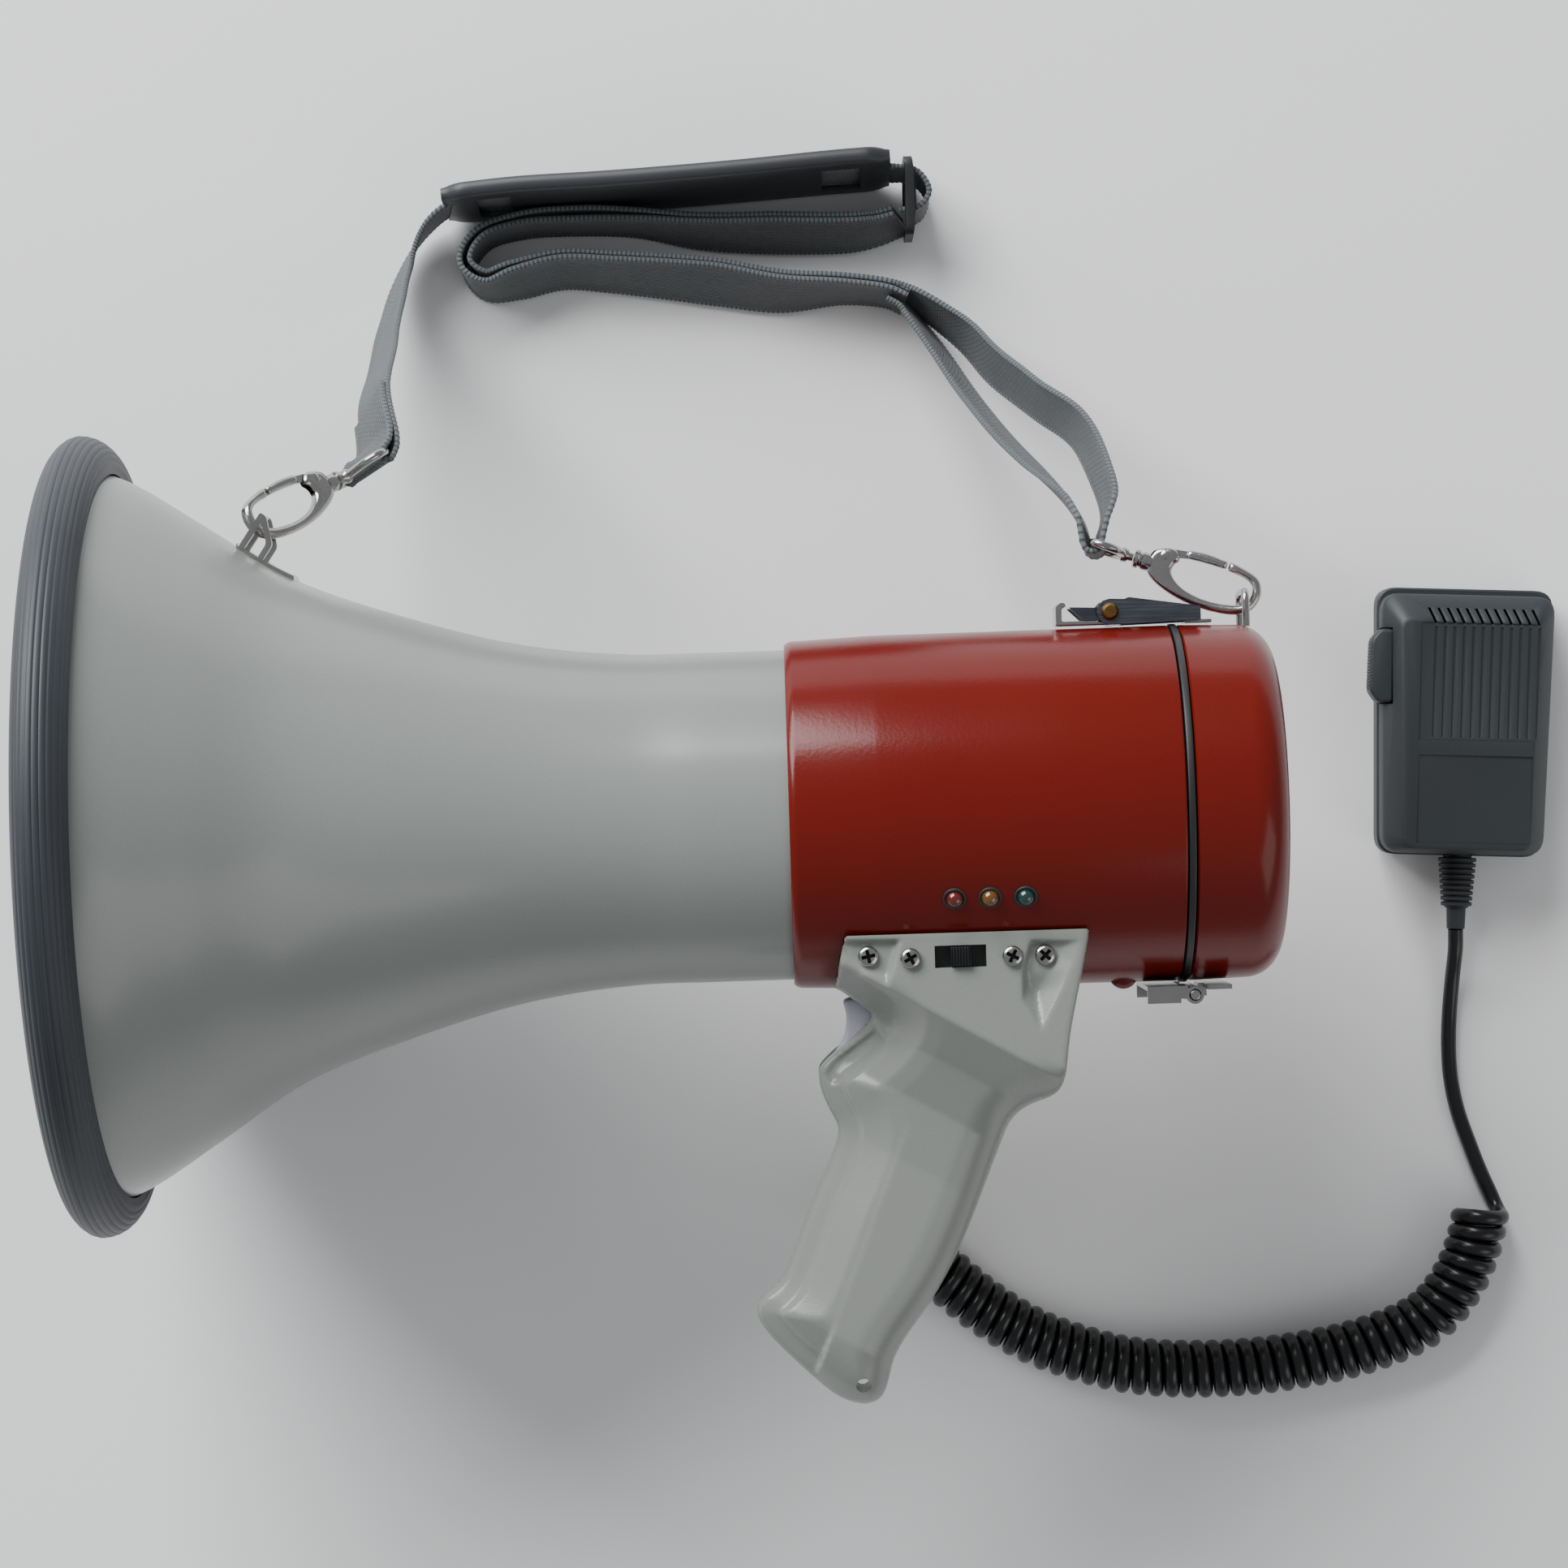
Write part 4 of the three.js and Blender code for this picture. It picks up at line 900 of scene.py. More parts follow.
def make_grip_half(name, mirror, replaces):
    where = ON_AXIS @ Matrix.Diagonal((1, 1, -1 if mirror else 1, 1))
    outline = soft_outline(GRIP_OUTLINE)
    half = height_block(name, lambda x, y: grip_height(x, y, outline, not mirror), GAP / 2,
                        (181, 288), (-175, -26), 0.5, where)
    carve(half, [slab("silhouette", outline, -1, 60, where)], "INTERSECT")
    carve(half, [
        slab("well", TRIGGER_WELL, -1, 5.8, where),
        slab("cavity", GRIP_CAVITY, -1, 9, where),
        block("upper", (240, -58, -1), (271, -28, 26), where),
        plug("saddle", 175, 300, BODY_RADIUS + 0.6, where, AROUND),
    ])
    melt(half, 0.6, 4)
    drill = [plug("drill", -1, 60, 2.2, upright(*WRIST_HOLE, where), 24)]
    if mirror:
        drill.append(plug("drill", 8, 40, 4.3, upright(*GLAND, where), 24))
    else:
        x, y = SWITCH
        slit = [(213.1, -49.7), (221.0, -55.3), (221.3, -54.8), (213.3, -49.2)]
        drill.append(block("window", (x - 7.2, y - 3.1, 30), (x + 7.2, y + 3.1, 45), where))
        drill.append(slab("slit", slit, 25, 45, where))
        for spot in (*PANEL_SCREWS, *BRACKET_SCREWS):
            drill.append(plug("drill", 28, 45, 1.8, upright(*spot, where), 20))
    carve(half, drill)
    finish_piece(half, "grip_plastic", replaces=[replaces], sharp=40)


RECESS_FLOOR = 0.5         # above the screw's seat
RECESS_ARM = 1.9           # from the screw's middle to the end of a slot
RECESS_REACH = 2.02        # every face of the recess is nearer to the middle than this


def make_screw(name, x, y, seat, turn, node):
    """Pan-head screw with a cross recess, whose faces take a darker material as painted shade."""
    radius, crown = 2.85, seat + 1.1
    head = [(seat + GAP, 2.75), (seat + 0.7, 2.9), (crown, radius)]
    head += [(crown + 1.05 * math.sin(a), radius * math.cos(a) ** 0.8)
             for a in np.linspace(0.15, math.pi / 2, 8)]
    head[-1] = (head[-1][0], 0)
    shank = [(seat - 8, 0), (seat - 8, 1.45), (seat + GAP, 1.45)]
    screw = turned(name, [*shank, *head], upright(x, y), 32)
    flat = moved(x, y) @ Matrix.Rotation(turn, 4, "Z")
    low, high = (-RECESS_ARM, -0.5, seat + RECESS_FLOOR), (RECESS_ARM, 0.5, seat + 3)
    carve(screw, [block("arm", low, high, flat @ tilt(angle, "Z")) for angle in (0, 90)])
    finish_piece(screw, "chrome", replaces=[node], bevel=0.08, sharp=40, segments=1)
    # Faces inside the cross recess take the dark material: painted shade in the recess.
    screw.data.materials.append(finishes["recess_painted_shade"])
    middle = place(x, y, AXIS + seat)
    for face in screw.data.polygons:
        across, up = (face.center.xy - middle.xy).length, face.center.z - middle.z
        in_recess = abs(face.normal.z) < 0.3 or up < (RECESS_FLOOR + 0.02) * MM
        if across < RECESS_REACH * MM and up > GAP * MM and in_recess:
            face.material_index = 1


def make_trigger():
    outline = rounded([
        (212.9, -53.2), (214.4, -57.5), (213.9, -63.5), (211.2, -68.2), (208.4, -70.6),
        (210.5, -73.5), (219, -73.5), (224.5, -67), (224.5, -57), (221.5, -52.9),
    ], 2.6, 5)
    lever = slab("trigger_lever", outline, -5, 5)
    round_edges(lever, 1.1, 3)
    pivot = upright(*TRIGGER_PIVOT)
    carve(lever, [plug("bore", -4, 4, 1.8, pivot, 20)])
    finish_piece(lever, "trigger_plastic", body="trigger", replaces=["trigger"])
    core = pin("trigger_pin_core", 3.8, 1.2, 1.5, pivot)
    finish_piece(core, "plated_steel", replaces=["trigger_pin"])


def make_switch_knob():
    x, y = SWITCH
    knob = block("switch_knob", (x - 2.8, y - 2.7, 36), (x + 2.8, y + 2.7, 41.5))
    round_edges(knob, 0.3)
    carve(knob, [block("groove", (x + i * 0.8 - 0.2, y - 3, 40.8), (x + i * 0.8 + 0.2, y + 3, 42))
                 for i in range(-3, 4)])
    finish_piece(knob, "switch_plastic", body="mode_switch_knob", replaces=["mode_switch_knob"])


make_grip_half("grip_left", False, "grip_left_shell")
make_grip_half("grip_right", True, "grip_right_shell")
for (x, y), name, sink, turn in zip(
        (*PANEL_SCREWS, *BRACKET_SCREWS),
        ("panel_screw_front", "panel_screw_rear", "bracket_screw_front", "bracket_screw_rear"),
        (0, 0, BRACKET_SINK, BRACKET_SINK), (0.5, 1.1, 0.2, 0.8)):
    make_screw(f"{name}_head", x, y, PANEL_HALF_WIDTH - sink, turn, name)
make_trigger()
make_switch_knob()

# ------------------------------------------------------------------ microphone
MIC_LENGTH = 83
MIC_TOP_WIDTH = 55
MIC_BOTTOM_WIDTH = 51
MIC_SPLIT = 12.5
IN_MIC = moved(409.9, 21.5, 0, ON_GROUND) @ tilt(-3.2, "Z")
MIC_SLOTS = [-12.8 + 2.9 * i for i in range(12)]
RELIEF_HEIGHT = 9.5


def mic_ring(z, sides, top, bottom, corner):
    """One level of the microphone's case, set in from its widest outline."""
    high, low = MIC_LENGTH / 2 - top, bottom - MIC_LENGTH / 2
    wide, narrow = MIC_TOP_WIDTH / 2 - sides, MIC_BOTTOM_WIDTH / 2 - sides
    outline = rounded([(wide, high), (-wide, high), (-narrow, low), (narrow, low)], corner, 6)
    return [(p.x, p.y, z) for p in outline]


def lofted(name, rings, where):
    return swept(name, rings, lambda i: rings[i], where)


def relief_hole():
    middle = moved(0, -MIC_LENGTH / 2, RELIEF_HEIGHT, ON_GROUND)
    return plug("hole", -8, 8, 5, IN_MIC @ (middle @ tilt(90, "Z")))


def make_mic_front():
    split = MIC_SPLIT + GAP
    front = lofted("mic_front", [
        mic_ring(24.4, 9, 12, 5, 3), mic_ring(21, 4, 6, 3.4, 4),
        mic_ring(split, 3.2, 4.4, 3.2, 4), mic_ring(split, 0.5, 1.9, 0.5, 6),
        mic_ring(20.2, 0.7, 2.2, 0.6, 6), mic_ring(21.2, 1.2, 2.9, 0.9, 6),
        mic_ring(26.3, 5.6, 9.4, 1.9, 3.4), mic_ring(26.8, 6.2, 10.1, 2.3, 3.2),
        mic_ring(27, 6.9, 10.9, 2.9, 3),
    ], IN_MIC)
    tools = [block(name, low, high, IN_MIC) for name, low, high in (
        ("low panel", (-15.4, -37.6, 26.45), (19.8, -10.4, 28)),
        ("upper panel", (-15.4, -5.9, 26.6), (21.4, 30.4, 28)),
        ("button window", (-32, 5.0, 14.2), (-20.1, 28.6, 23.8)),
    )]
    tools.append(relief_hole())
    for x in MIC_SLOTS:
        slant = [(x - 0.45, 35), (x + 0.45, 35), (x + 2.35, 30.2), (x + 1.45, 30.2)]
        tools.append(slab("slot", slant, 21.5, 28, IN_MIC))
        tools.append(block("groove", (x + 1.5, -4.9, 26.2), (x + 2.4, 29.2, 28), IN_MIC))
    carve(front, tools)
    finish_piece(front, "mic_plastic", replaces=["mic_front_shell"], bevel=0.22, sharp=30)


def make_mic_back():
    back = lofted("mic_back", [
        mic_ring(2.2, 5, 5, 5, 4), mic_ring(MIC_SPLIT, 3, 3, 3, 4),
        mic_ring(MIC_SPLIT, 0.5, 0.5, 0.5, 6), mic_ring(MIC_SPLIT - 0.5, 0, 0, 0, 6),
        mic_ring(4.5, 0, 0, 0, 6), mic_ring(2.2, 0.8, 0.8, 0.8, 6),
        mic_ring(0.6, 2.2, 2.2, 2.2, 6), mic_ring(0, 3.4, 3.4, 3.4, 6),
    ], IN_MIC)
    carve(back, [relief_hole()])
    finish_piece(back, "mic_plastic", replaces=["mic_back_shell"], sharp=30)


def make_mic_button():
    outline = rounded([
        (-23, 28.2), (-27.6, 28.2), (-30.3, 24.6), (-30.6, 9), (-28, 5.4), (-23, 5.4),
    ], 1.4, 4)
    button = slab("mic_talk_button", outline, 14.6, 23.4, IN_MIC)
    round_edges(button, 1.1, 3)
    carve(button, [block("groove", (-31, 9.4 + 0.95 * i, 15), (-30, 9.8 + 0.95 * i, 24), IN_MIC)
                   for i in range(16)])
    finish_piece(button, "mic_plastic", body="mic_button", replaces=["mic_button"])


def make_mic_relief():
    """Ribbed sleeve that tapers down to the cord."""
    start, ribs, pitch = 42.1, 9, 1.72
    profile = [(start - 5, 0), (start - 5, 4.4), (start, 4.4)]
    for i in range(ribs):
        r = 5.9 - 1.1 * i / (ribs - 1)
        x = start + i * pitch
        profile += [(x + 0.05, r - 0.25), (x + 0.25, r), (x + 1.1, r), (x + 1.3, r - 0.3),
                    (x + 1.35, r - 1.0), (x + 1.68, r - 1.0)]
    end = start + ribs * pitch
    profile += [(end, 3.6), (end + 0.4, 3.0), (end + 6.6, 2.8), (end + 6.8, 2.5), (end + 6.8, 0)]
    relief = turned("mic_relief", profile, moved(0, 0, RELIEF_HEIGHT, IN_MIC) @ tilt(-90, "Z"), 40)
    finish_piece(relief, "mic_rubber", replaces=["mic_strain_relief"], sharp=50)


make_mic_front()
make_mic_back()
make_mic_button()
make_mic_relief()

# ------------------------------------------------------------------ snap hooks
# Each hook is made round the bar that it hangs on. x runs along it towards its swivel eye.
HOOKS = {
    "bell": moved(50.28, 90.25) @ tilt(30, "Z") @ tilt(44, "Y"),
    "rear": moved(333.6, 60.6, -16.5) @ tilt(160, "Z") @ tilt(7, "Y") @ tilt(180, "X"),
}
HOOK_OUTLINE = [
    (-5.4, 2.4), (-3.4, 5.6), (3.4, 7.2), (6, 7.4, 0.6), (6, 4.6, 0.6), (1.6, 4.4), (-2.2, 3.2),
    (-3.1, 0), (-2.2, -3.1), (2.4, -4.8), (10, -5.6), (17, -4.4), (21.4, -1.4), (21.6, 1.6),
    (19.6, 3.4), (22, 6.6), (27.4, 5), (29, 2.4), (29, -2.4), (25.4, -5.2), (18, -7.6),
    (10, -8.4), (1, -7.6), (-4, -5), (-5.6, -1.2),
]
GATE_OUTLINE = [
    (6.5, 4.9, 0.5), (6.5, 7.2, 0.5), (13, 7.7), (18.6, 7, 1), (18.8, 4.4, 1), (13, 4.8),
]
GATE_TONGUE = [(17, 4.6), (17, 6.8), (23.4, 5.8), (25.6, 4), (25, 2.4), (23, 2), (20.4, 4)]
GATE_PIVOT = (24.5, 3.4)
EYE_BAR = 45.45            # along local x, where the webbing turns round the eye
EYE_PATH = [
    (36.4, -3.4), (38.2, -11.4), (EYE_BAR, -11.9), (EYE_BAR, 11.9), (38.2, 11.4), (36.4, 3.4),
]
EYE_WIRE = 1.25            # its radius
CAST_STEP = 0.3


def cast(name, outline, half, rounding, where):
    """A flat casting with rounded edges, from an outline in local x and y."""
    corners = np.array([tuple(p) for p in outline])
    low, high = corners.min(axis=0) - 1, corners.max(axis=0) + 1

    def top(x, y):
        edge = from_outline(x, y, outline)
        return half - rounding * (1 - round_over(edge, rounding))

    made, under = (height_block(name, top, -0.2, (low[0], high[0]), (low[1], high[1]), CAST_STEP,
                                where @ Matrix.Diagonal((1, 1, flip, 1))) for flip in (1, -1))
    carve(made, [under], "UNION")
    carve(made, [slab("outline", outline, -half - 1, half + 1, where)], "INTERSECT")
    melt(made, CAST_STEP, 3)
    return made


def make_hook(name, where, body, gate_body):
    shell = cast(f"{name}_hook_cast", soft_outline(HOOK_OUTLINE), 2, 1.5, where)
    barrel = turned("barrel", [
        (27.6, 0), (27.6, 2.3), (29.2, 2.7), (30.4, 2.7), (30.8, 2.2), (31.3, 2.2), (31.6, 2.8),
        (32.6, 2.8), (33, 2.3), (33, 0),
    ], where, 28)
    pivot = upright(*GATE_PIVOT, where)
    rivet = pin("rivet", 2.3, 0.9, 1.35, pivot)
    pocket = slab("pocket", circle(23.1, 3.8, 4.6, 28), -1, 1, where)
    carve(shell, [barrel], "UNION")
    carve(shell, [pocket])
    carve(shell, [rivet], "UNION")
    finish_piece(shell, "chrome", body=body, replaces=[f"{name}_hook_body"], sharp=50)

    gate = cast(f"{name}_hook_latch", soft_outline(GATE_OUTLINE), 1.8, 1.1, where)
    tongue = slab("tongue", rounded(GATE_TONGUE, 1, 3), -0.6, 0.6, where)
    carve(tongue, [plug("bore", -3, 3, 1.5, pivot, 20)])
    carve(gate, [tongue], "UNION")
    finish_piece(gate, "chrome", body=gate_body, replaces=[f"{name}_hook_gate"], sharp=50)

    path = rounded([(x, 0, z) for x, z in EYE_PATH], 4.5, 6)
    ring = tube(f"{name}_hook_ring", path, EYE_WIRE, where, 16, closed=True)
    neck = turned("neck", [
        (33.3, 0), (33.3, 1.2), (34.6, 1.3), (35.2, 2), (36.6, 2.2), (37.4, 1.2), (37.4, 0),
    ], where, 20)
    carve(ring, [neck], "UNION")
    finish_piece(ring, "chrome", body=body, replaces=[f"{name}_hook_eye"], sharp=50)


def make_staple():
    path = rounded([
        (333.6, 45, -25.5), (333.6, 60.6, -25.5), (333.6, 60.6, -7.5), (333.6, 50.4, -7.5),
    ], 3.2, 6, closed=False)
    wire = tube("strap_staple", even(path, 0.6), 1.1, sides=18)
    finish_piece(wire, "chrome", body="rear_cover", replaces=["rear_strap_loop"], sharp=50)


def make_gland():
    face = AXIS - 16.4
    profile = [(77.9, 0), (77.9, 3.3), (78.3, 3.6)]
    for i in range(6):
        z, r = 79.4 + 2.4 * i, 3.6 + 0.27 * i
        profile += [(z, r), (z + 0.2, r - 0.8), (z + 0.9, r - 0.8), (z + 1.1, r + 0.1)]
    profile += [(face - 4, 5.2), (face - 3.6, 6.2), (face - 0.9, 6.4), (face - 0.3, 6),
                (face - 0.3, 4), (face + 6, 4), (face + 6, 0)]
    sleeve = turned("cord_sleeve", profile, upright(*GLAND, ON_GROUND), 36)
    finish_piece(sleeve, "black_rubber", replaces=["cord_gland"], sharp=50)


def make_bell_bracket():
    """Folded strip: a foot on the horn and two arched cheeks, joined by the bar for the hook."""
    xs = np.linspace(43.8, 60, 14)
    radius = np.interp(xs, [p.x for p in BELL_OUTSIDE], [p.y for p in BELL_OUTSIDE])
    path = [Vector((52, 77, z)) for z in np.linspace(-7, 7, 11)]

    def foot_section(i):
        rise = np.sqrt(radius ** 2 - path[i].z ** 2)
        top = [Vector((x, y + 1.3, path[i].z)) for x, y in zip(xs, rise)]
        under = [Vector((x, y - 0.3, path[i].z)) for x, y in zip(xs, rise)]
        return [*top, *reversed(under)]
    bracket = swept("bell_strap_loop", path, foot_section)
    where = moved(44.6, 83.1) @ tilt(-34.5, "Z")
    arch = rounded([
        (0.6, -1.4), (0.6, 10.4), (2.6, 10.4), (8.6, 4.4), (8.6, -1.2), (6.9, -1.2), (6.9, 3.8),
        (2.4, 8.4), (2.3, -1.4),
    ], 1.1, 4)
    parts = [slab("cheek", arch, 5.6, 7.4, where), slab("cheek", arch, -7.4, -5.6, where)]
    bar = rounded([(0.6, 8.6), (0.6, 10.4), (2.3, 10.4), (2.3, 8.6)], 0.5, 3)
    parts.append(slab("bar", bar, -7.4, 7.4, where))
    carve(bracket, parts, "UNION")
    finish_piece(bracket, "chrome", replaces=["bell_strap_bracket"], bevel=0.25, sharp=40)


def make_latch_frame():
    """The latch's fixed frame: a foot with a curled end, and two cheeks that hold the rivet."""
    curl = rounded([
        (277.6, 51.7), (277.6, 57.2), (278.4, 58.3), (280.3, 58.3), (280.8, 57.2), (279.4, 56.6),
        (279.3, 52.9), (297, 52.9), (297, 51.7),
    ], 0.7, 4)
    foot = slab("latch_foot", curl, -6.8, 6.8)
    finish_piece(foot, "chrome", replaces=["latch_base"], bevel=0.3, sharp=40)
    side = rounded([(281.4, 57), (289.2, 56.6), (291, 57.9), (293, 58.3), (295.8, 57.6), (297, 55),
                    (297, 52.95), (285.6, 52.95)], 0.6, 4)
    cheeks, other = (slab("latch_cheeks", side, low, low + 1.3, holes=[circle(293, 55.3, 1.8, 20)])
                     for low in (5.5, -6.8))
    carve(cheeks, [other], "UNION")
    finish_piece(cheeks, "plated_steel", bevel=0.25, sharp=40)


make_bell_bracket()
make_latch_frame()
make_hook("bell", HOOKS["bell"], "root", "bell_hook_gate")
make_hook("rear", HOOKS["rear"], "rear_cover", "rear_hook_gate")
make_staple()
make_gland()

# ------------------------------------------------------------------ shoulder strap
# Points of the routes are x, y, z and the lean of the webbing from upright, in degrees. z is
# counted from the ground.
GROUND = WEBBING_WIDTH / 2 + 0.2
FRONT = [
    (79.4, 128, 63.4, 33), (80.2, 142.4, 42, 27), (81.7, 156.5, 25, 24), (84.8, 170.2, 14, 16),
    (91, 182.6, 13, 3), (101, 190.6, 16.5, -3), (120, 192.4, 18.4, -5), (150, 193.3, 18.4, -5),
    (190, 195.3, 18.4, -5), (220, 197.1, 17.4, -6), (238, 197.6, 14, -6),
]
FRONT_TURN = [
    (245, 196.4, 13.2, -4), (248.8, 190.8, 13, -2), (246, 185.4, 13, 4), (240.6, 183.9, 12.6, 12),
]
SLACK = [
    (240.2, 183.4, 12, 14), (232, 181.2, GROUND, 20), (225, 180.2, GROUND, 24),
    (200, 180.8, GROUND, 26), (178, 182, GROUND, 20), (158, 185, GROUND, 10),
    (138, 185.8, GROUND, 8), (122, 185.2, GROUND, 8), (110, 181.6, GROUND, 6),
    (105, 174, GROUND, 2), (110.4, 167.4, GROUND, -12), (120, 168.6, GROUND, -24),
    (134, 171.4, GROUND, -24), (150, 170.2, GROUND, -26), (181.6, 166.2, GROUND, -34),
    (202, 162.6, GROUND, -28), (222, 162.6, GROUND, -14), (236, 160.6, GROUND, -12),
    (241, 158.2, GROUND, -12),
]
UPPER = [
    (236, 161.6, GROUND, -12), (241, 159.6, GROUND, -13), (247, 156, 12, -15), (258, 147, 16, -18),
    (267, 135.8, 26, -21), (278, 124.4, 42, -22), (289.6, 112.6, 60, -20), (294.8, 100, 74, -14),
    (296.4, 88, 86, -6), (294.2, 80.4, 92.2, 0),
]
LOWER = [
    (288.6, 80.2, 92, 0), (286, 86.4, 84, -6), (281.6, 93.8, 71.5, -13), (276.3, 101.2, 60.5, -17),
    (268, 112.6, 45, -18), (259, 127, 27, -18), (250, 142.8, 15, -16), (243.4, 153, 11, -13),
    (240.4, 157, GROUND, -11), (236, 160, GROUND, -12),
]
PAD = [
    (99, 191.6, 18.6, -5), (120, 193.1, 18.6, -7), (150, 194, 18.6, -7), (190, 196, 18.6, -7),
    (220, 197.9, 18.6, -8), (237, 198.7, 18.6, -8),
]


def stations(route, step, aside=None):
    """Evenly spaced (point, width direction) pairs; aside(share) moves a point off the route."""
    per_span = 10
    line = smooth_route([p[:3] for p in route], per_span)
    along = np.concatenate([[0], np.cumsum([(b - a).length for a, b in zip(line, line[1:])])])
    at_points = along[::per_span]
    spaced = even(line, step)
    distance = np.linspace(0, along[-1], len(spaced))
    lean = np.radians(np.interp(distance, at_points, [p[3] for p in route]))
    lean = np.convolve(np.pad(lean, 12, mode="edge"), np.ones(25) / 25, mode="valid")
    found = []
    for i, point in enumerate(spaced):
        ahead = (spaced[min(i + 1, len(spaced) - 1)] - spaced[max(i - 1, 0)]).normalized()
        up = Vector((0, 0, 1)) - ahead * ahead.z
        up.normalize()
        side = ahead.cross(up)
        wide = up * math.cos(lean[i]) + side * math.sin(lean[i])
        if point.z <= GROUND + 0.4:
            rest = (WEBBING_WIDTH / 2 * math.cos(lean[i])
                    + WEBBING_THICKNESS * abs(math.sin(lean[i])) + 0.3)
            point = Vector((point.x, point.y, min(point.z, rest)))
        if aside:
            point = point + ahead.cross(wide) * aside(i / len(spaced))
        found.append((point, wide))
    return found


def round_bar(centre, wide, arrive, turn, radius, step):
    """Stations half way round a bar, starting where the webbing arrives."""
    out = arrive.cross(wide).normalized() * turn
    count = max(6, round(math.pi * radius / step))
    found = []
    for i in range(count + 1):
        angle = math.pi * i / count
        found.append((centre + out * radius * math.cos(angle)
                      + arrive * radius * math.sin(angle), wide))
    return found


def blended(parts, reach):
    """One list of stations, with the width direction evened out along it."""
    line = [s for part in parts for s in part]
    wide = np.array([tuple(s[1]) for s in line])
    kernel = np.ones(2 * reach + 1) / (2 * reach + 1)
    padded = np.pad(wide, ((reach, reach), (0, 0)), mode="edge")
    smooth = np.stack([np.convolve(padded[:, i], kernel, mode="valid") for i in range(3)], axis=1)
    return [(s[0], Vector(row).normalized()) for s, row in zip(line, smooth)]


def webbing(name, line, thickness=WEBBING_THICKNESS, width=WEBBING_WIDTH, beads=True):
    """A ribbon with rolled, beaded edges along (point, width direction) stations."""
    half = width / 2
    rows = [(-1, 0), (-0.985, 0.5), (-0.94, 0.6), (-0.89, 0.45), (-0.5, 0.5), (0, 0.5), (0.5, 0.5),
            (0.89, 0.45), (0.94, 0.6), (0.985, 0.5), (1, 0)]
    rows += [(a, -b) for a, b in reversed(rows[1:-1])]
    along = 0
    distance = []
    for i, (point, _) in enumerate(line):
        along += (point - line[i - 1][0]).length if i else 0
        distance.append(along)

    def ring(i):
        point, wide = line[i]
        ahead = (line[min(i + 1, len(line) - 1)][0] - line[max(i - 1, 0)][0]).normalized()
        flat = ahead.cross(wide).normalized()
        bead = 0.5 + 0.5 * math.cos(2 * math.pi * distance[i] / BEAD_PITCH) if beads else 0
        found = []
        for a, b in rows:
            swell = bead * 0.22 if abs(a) > 0.9 else 0
            found.append(point + wide * (a * (half - 0.15) + math.copysign(swell, a))
                         + flat * thickness * b * (1 + swell))
        return found
    made = swept(name, line, ring, ON_GROUND, uv=lambda i, k: (distance[i], rows[k][0] * half))
    return made, distance[-1]


def declare_strap(made, replaces):
    finish_piece(made, "webbing", replaces=replaces, sharp=60)


STEP = 0.4
in_bell_hook, in_rear_hook = HOOKS["bell"], HOOKS["rear"]
bell_bar = in_bell_hook @ Vector((EYE_BAR, 0, 0))
bell_bar_line = (in_bell_hook.to_3x3() @ Vector((0, 0, 1))).normalized()
rear_bar = in_rear_hook @ Vector((EYE_BAR, 0, 0))
rear_bar_line = -(in_rear_hook.to_3x3() @ Vector((0, 0, 1))).normalized()
ROUND_BAR = EYE_WIRE + WEBBING_THICKNESS / 2 + 0.12
TAB_LENGTH = 26            # of the sewn end that lies against the front run


def make_front_strap():
    """Folds back round the bell hook's eye, lies along the pad and turns in the adjuster."""
    leave = Vector((0.089, 0.727, -0.667))
    leave = (leave - bell_bar_line * leave.dot(bell_bar_line)).normalized()
    arrive = -leave
    loop = round_bar(bell_bar, bell_bar_line, arrive, 1, ROUND_BAR, STEP)
    start = loop[-1][0]
    across = loop[0][0] - start
    run = stations([(*start, 38), (*(start + leave * 7), 38), *FRONT, *FRONT_TURN], STEP)
    tab = []
    for i in range(round(TAB_LENGTH / STEP), 0, -1):
        point, wide = run[i]
        out = (run[i + 1][0] - run[i - 1][0]).cross(wide).normalized()
        out *= math.copysign(1, out.dot(across))
        close = WEBBING_THICKNESS + 0.35
        gap = across.length + (close - across.length) * float(ease(i * STEP, 0, 11))
        tab.append((point + out * gap, wide))
    line = blended([tab, loop, run[1:]], 10)
    made, length = webbing("strap_front_run", line)
    declare_strap(made, ["strap_front"])


def make_slack():
    """Two layers side by side, which part at the left bend."""
    apart = 0.95

    def swell(t, middle, reach):
        return math.exp(-((t - middle) / reach) ** 2)

    def outer(t):
        return apart + 1.3 * swell(t, 0.36, 0.07) + 0.8 * swell(t, 0.5, 0.05)

    def inner(t):
        return -apart - 0.6 * swell(t, 0.52, 0.05)

    for name, aside in (("outer", outer), ("inner", inner)):
        line = blended([stations(SLACK, STEP, aside)], 6)
        made, length = webbing(f"strap_slack_{name}", line)
        declare_strap(made, ["strap_slack"])


def make_rear_strap():
    """From the slack to the rear hook's eye and back."""
    upper = stations(UPPER, STEP)
    lower = stations(LOWER, STEP)
    arrive = Vector((-0.2, -0.95, 0))
    arrive = (arrive - rear_bar_line * arrive.dot(rear_bar_line)).normalized()
    loop = round_bar(rear_bar, rear_bar_line, arrive, -1, ROUND_BAR + 0.6, STEP)
    if (loop[0][0] - upper[-1][0]).length > (loop[-1][0] - upper[-1][0]).length:
        loop = list(reversed(loop))

    def bridge(a, b):
        return [(p, rear_bar_line) for p in even([a[0], b[0]], STEP)[1:-1]]

    line = blended([upper, bridge(upper[-1], loop[0]), loop, bridge(loop[-1], lower[0]), lower], 14)
    made, length = webbing("strap_rear_run", line)
    dress(made, "webbing", sharp=60)
    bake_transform(made)
    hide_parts("strap_rear_end")


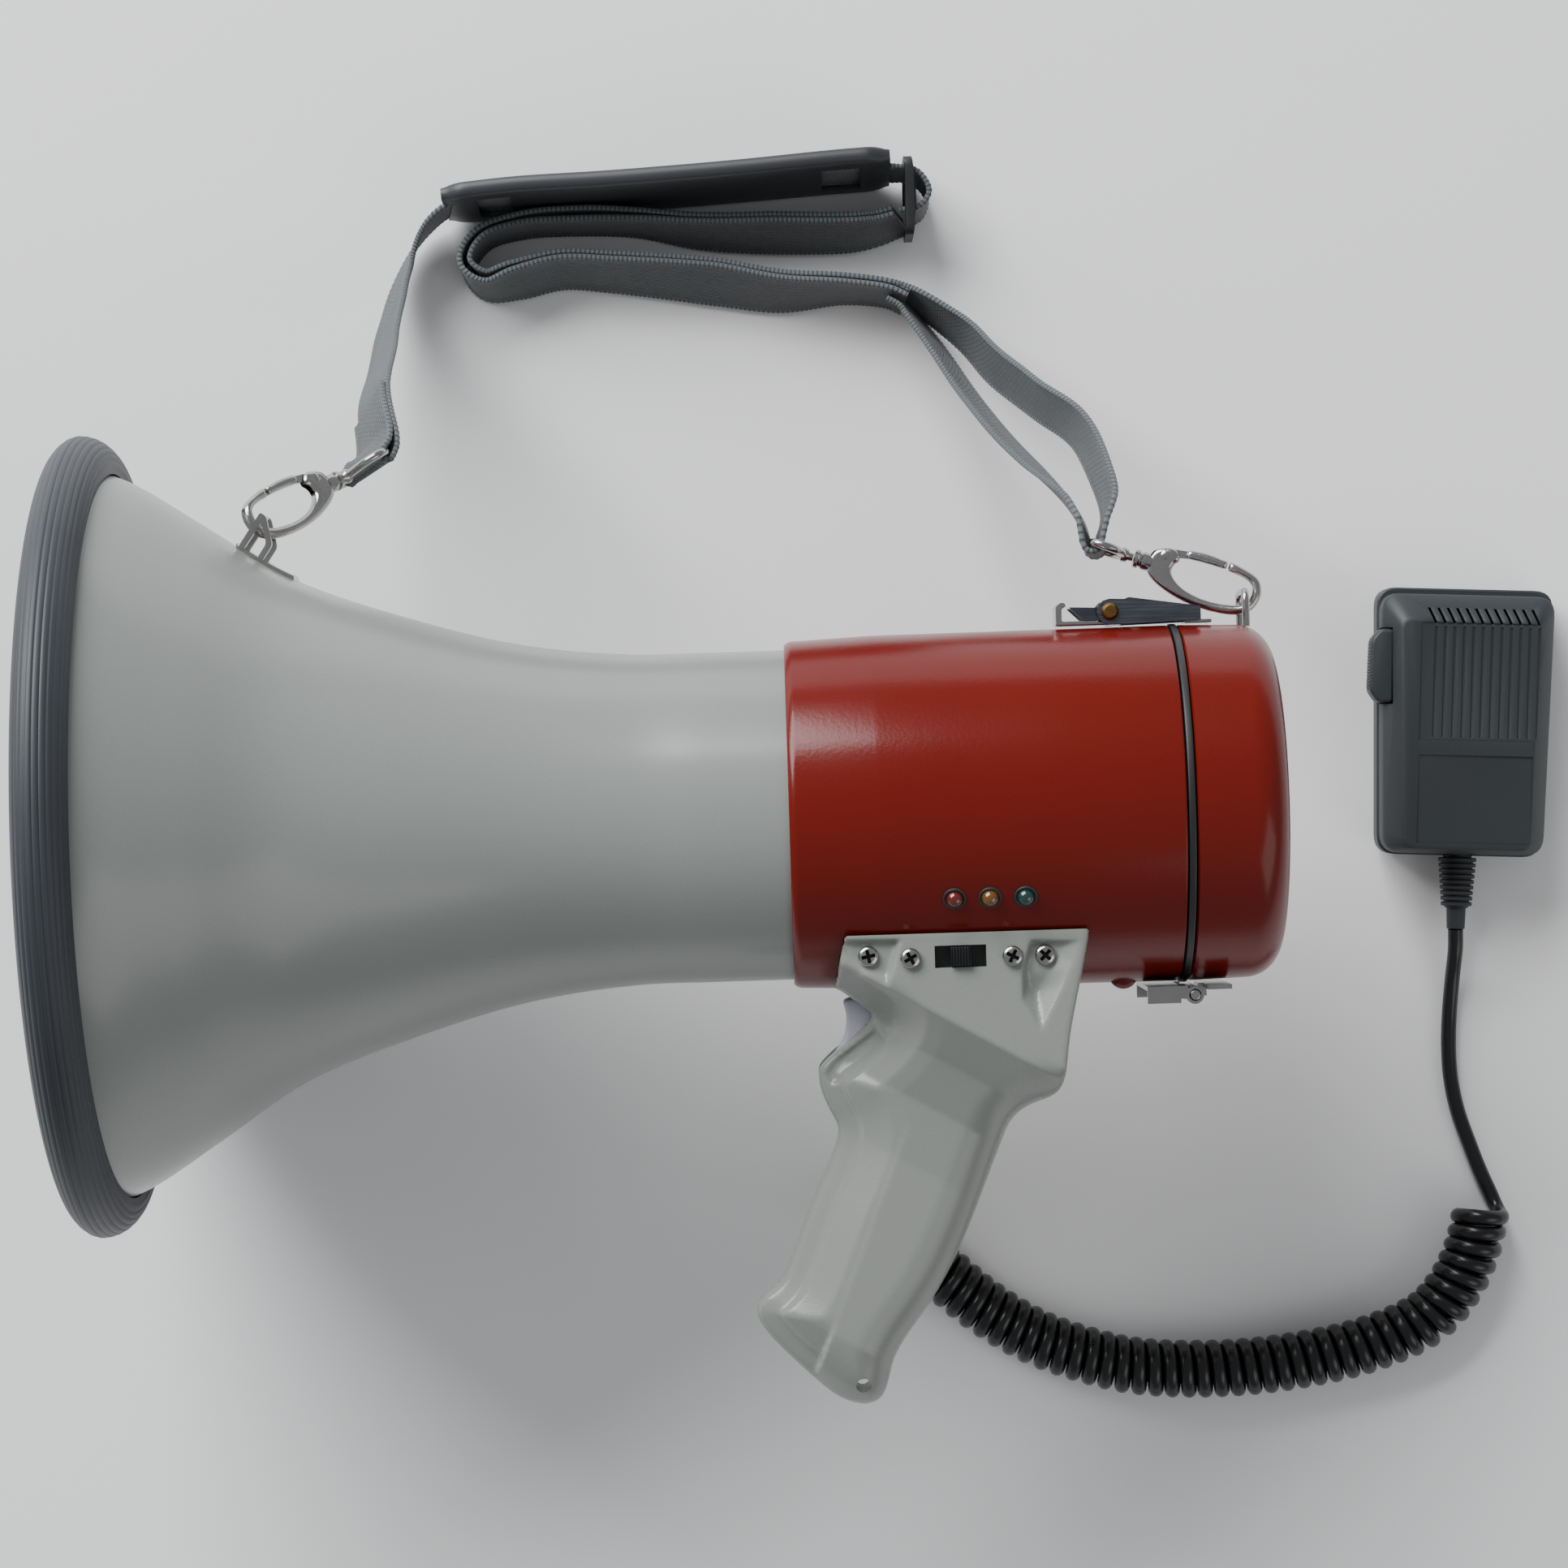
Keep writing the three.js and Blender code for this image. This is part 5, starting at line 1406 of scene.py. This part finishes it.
def make_pad():
    """A rubber sleeve on edge: the webbing runs through it and shows in a window near each end."""
    thickness, width, step = 5, 36, 1.5
    line = stations(PAD, step)
    n = len(line)
    corner = [(1, 0.0), (0.99, 0.3), (0.955, 0.46), (0.9, 0.5), (0.4, 0.5)]
    rows = [*corner, *[(-a, b) for a, b in reversed(corner)], *[(-a, -b) for a, b in corner[1:]],
            *[(a, -b) for a, b in reversed(corner[1:])]]

    def ring(i):
        point, wide = line[i]
        ahead = (line[min(i + 1, n - 1)][0] - line[max(i - 1, 0)][0]).normalized()
        flat = ahead.cross(wide).normalized()
        from_end = min(i, n - 1 - i) * step
        taper = 0.84 + 0.16 * float(ease(np.array(from_end), 0, 7))
        slim = 0.75 + 0.25 * float(ease(np.array(from_end), 0, 4))
        return [point + wide * a * width / 2 * taper + flat * b * thickness * slim for a, b in rows]
    pad = swept("shoulder_pad_sleeve", line, ring, ON_GROUND)
    tunnel, _ = webbing("tunnel", stations(FRONT[4:], 2), thickness=2.0, width=22, beads=False)
    tools = [tunnel]
    for low, high in ((108, 120), (215, 228)):
        sunk = [(p - Vector((0, 3.2, 0)), w) for p, w in line if low < p.x < high]
        window, _ = webbing("window", sunk, thickness=5.4, width=23, beads=False)
        tools.append(window)
    carve(pad, tools)
    finish_piece(pad, "pad_rubber", replaces=["shoulder_pad"], sharp=45)


def make_adjuster():
    """Three-bar slide: a bowed frame with two slots for the webbing."""
    x, y, half_width, bow = 242.5, 189.4, 12, 1.1
    outline = rounded([(177.2, 1.2), (201.6, 1.2), (201.6, 25.6), (177.2, 25.6)], 3.2, 6)
    slots = [rounded([(a, 3.2), (b, 3.2), (b, 23.6), (a, 23.6)], 1.4, 4)
             for a, b in ((180.2, 188), (191.4, 199))]
    standing = Matrix(((0, 0, 1, x), (1, 0, 0, 0), (0, 1, 0, 0), (0, 0, 0, 1)))
    adjuster = slab("slide_adjuster_frame", outline, -1.3, 1.3, standing, holes=slots)
    middle = place(x, y, 0)
    for vertex in adjuster.data.vertices:
        off = (vertex.co.y - middle.y) / (half_width * MM)
        vertex.co.x += bow * MM * (1 - off * off)
    finish_piece(adjuster, "black_rubber", replaces=["slide_adjuster"], bevel=0.7, segments=3)


make_pad()
make_adjuster()
make_front_strap()
make_slack()
make_rear_strap()

# ------------------------------------------------------------------ carried nodes
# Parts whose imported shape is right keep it, with their edges softened.
SOFTENED = {
    "latch_lever": 0.4, "latch_bail": 0.35, "latch_strike": 0.3, "latch_rivet": 0.2,
    "hinge_body_leaf": 0.35, "hinge_cover_leaf": 0.35, "hinge_pin": 0.2, "mode_switch_body": 0.3,
    "trigger_switch": 0.3, "mic_capsule": 0.4, "battery_holder": 0.4, "contact_plate": 0.3,
    "amplifier_board": 0.3, "throat_tube": 0.3, "driver_magnet": 0.5, "driver_dome": 0.2,
    "cell_pair_1": 0.3, "cell_pair_2": 0.3, "cell_pair_3": 0.3, "cell_pair_4": 0.3,
}
node_slots = {entry["node"]: entry["material_slot"] for entry in frame["record"]["subparts"]}
for name, width in SOFTENED.items():
    node = frame["nodes"][name]
    node.data.materials.clear()
    node.data.materials.append(finishes[node_slots[name]])
    weld = node.modifiers.new("weld", "WELD")
    weld.merge_threshold = 0.00001
    soften(node, width)

make_cord()
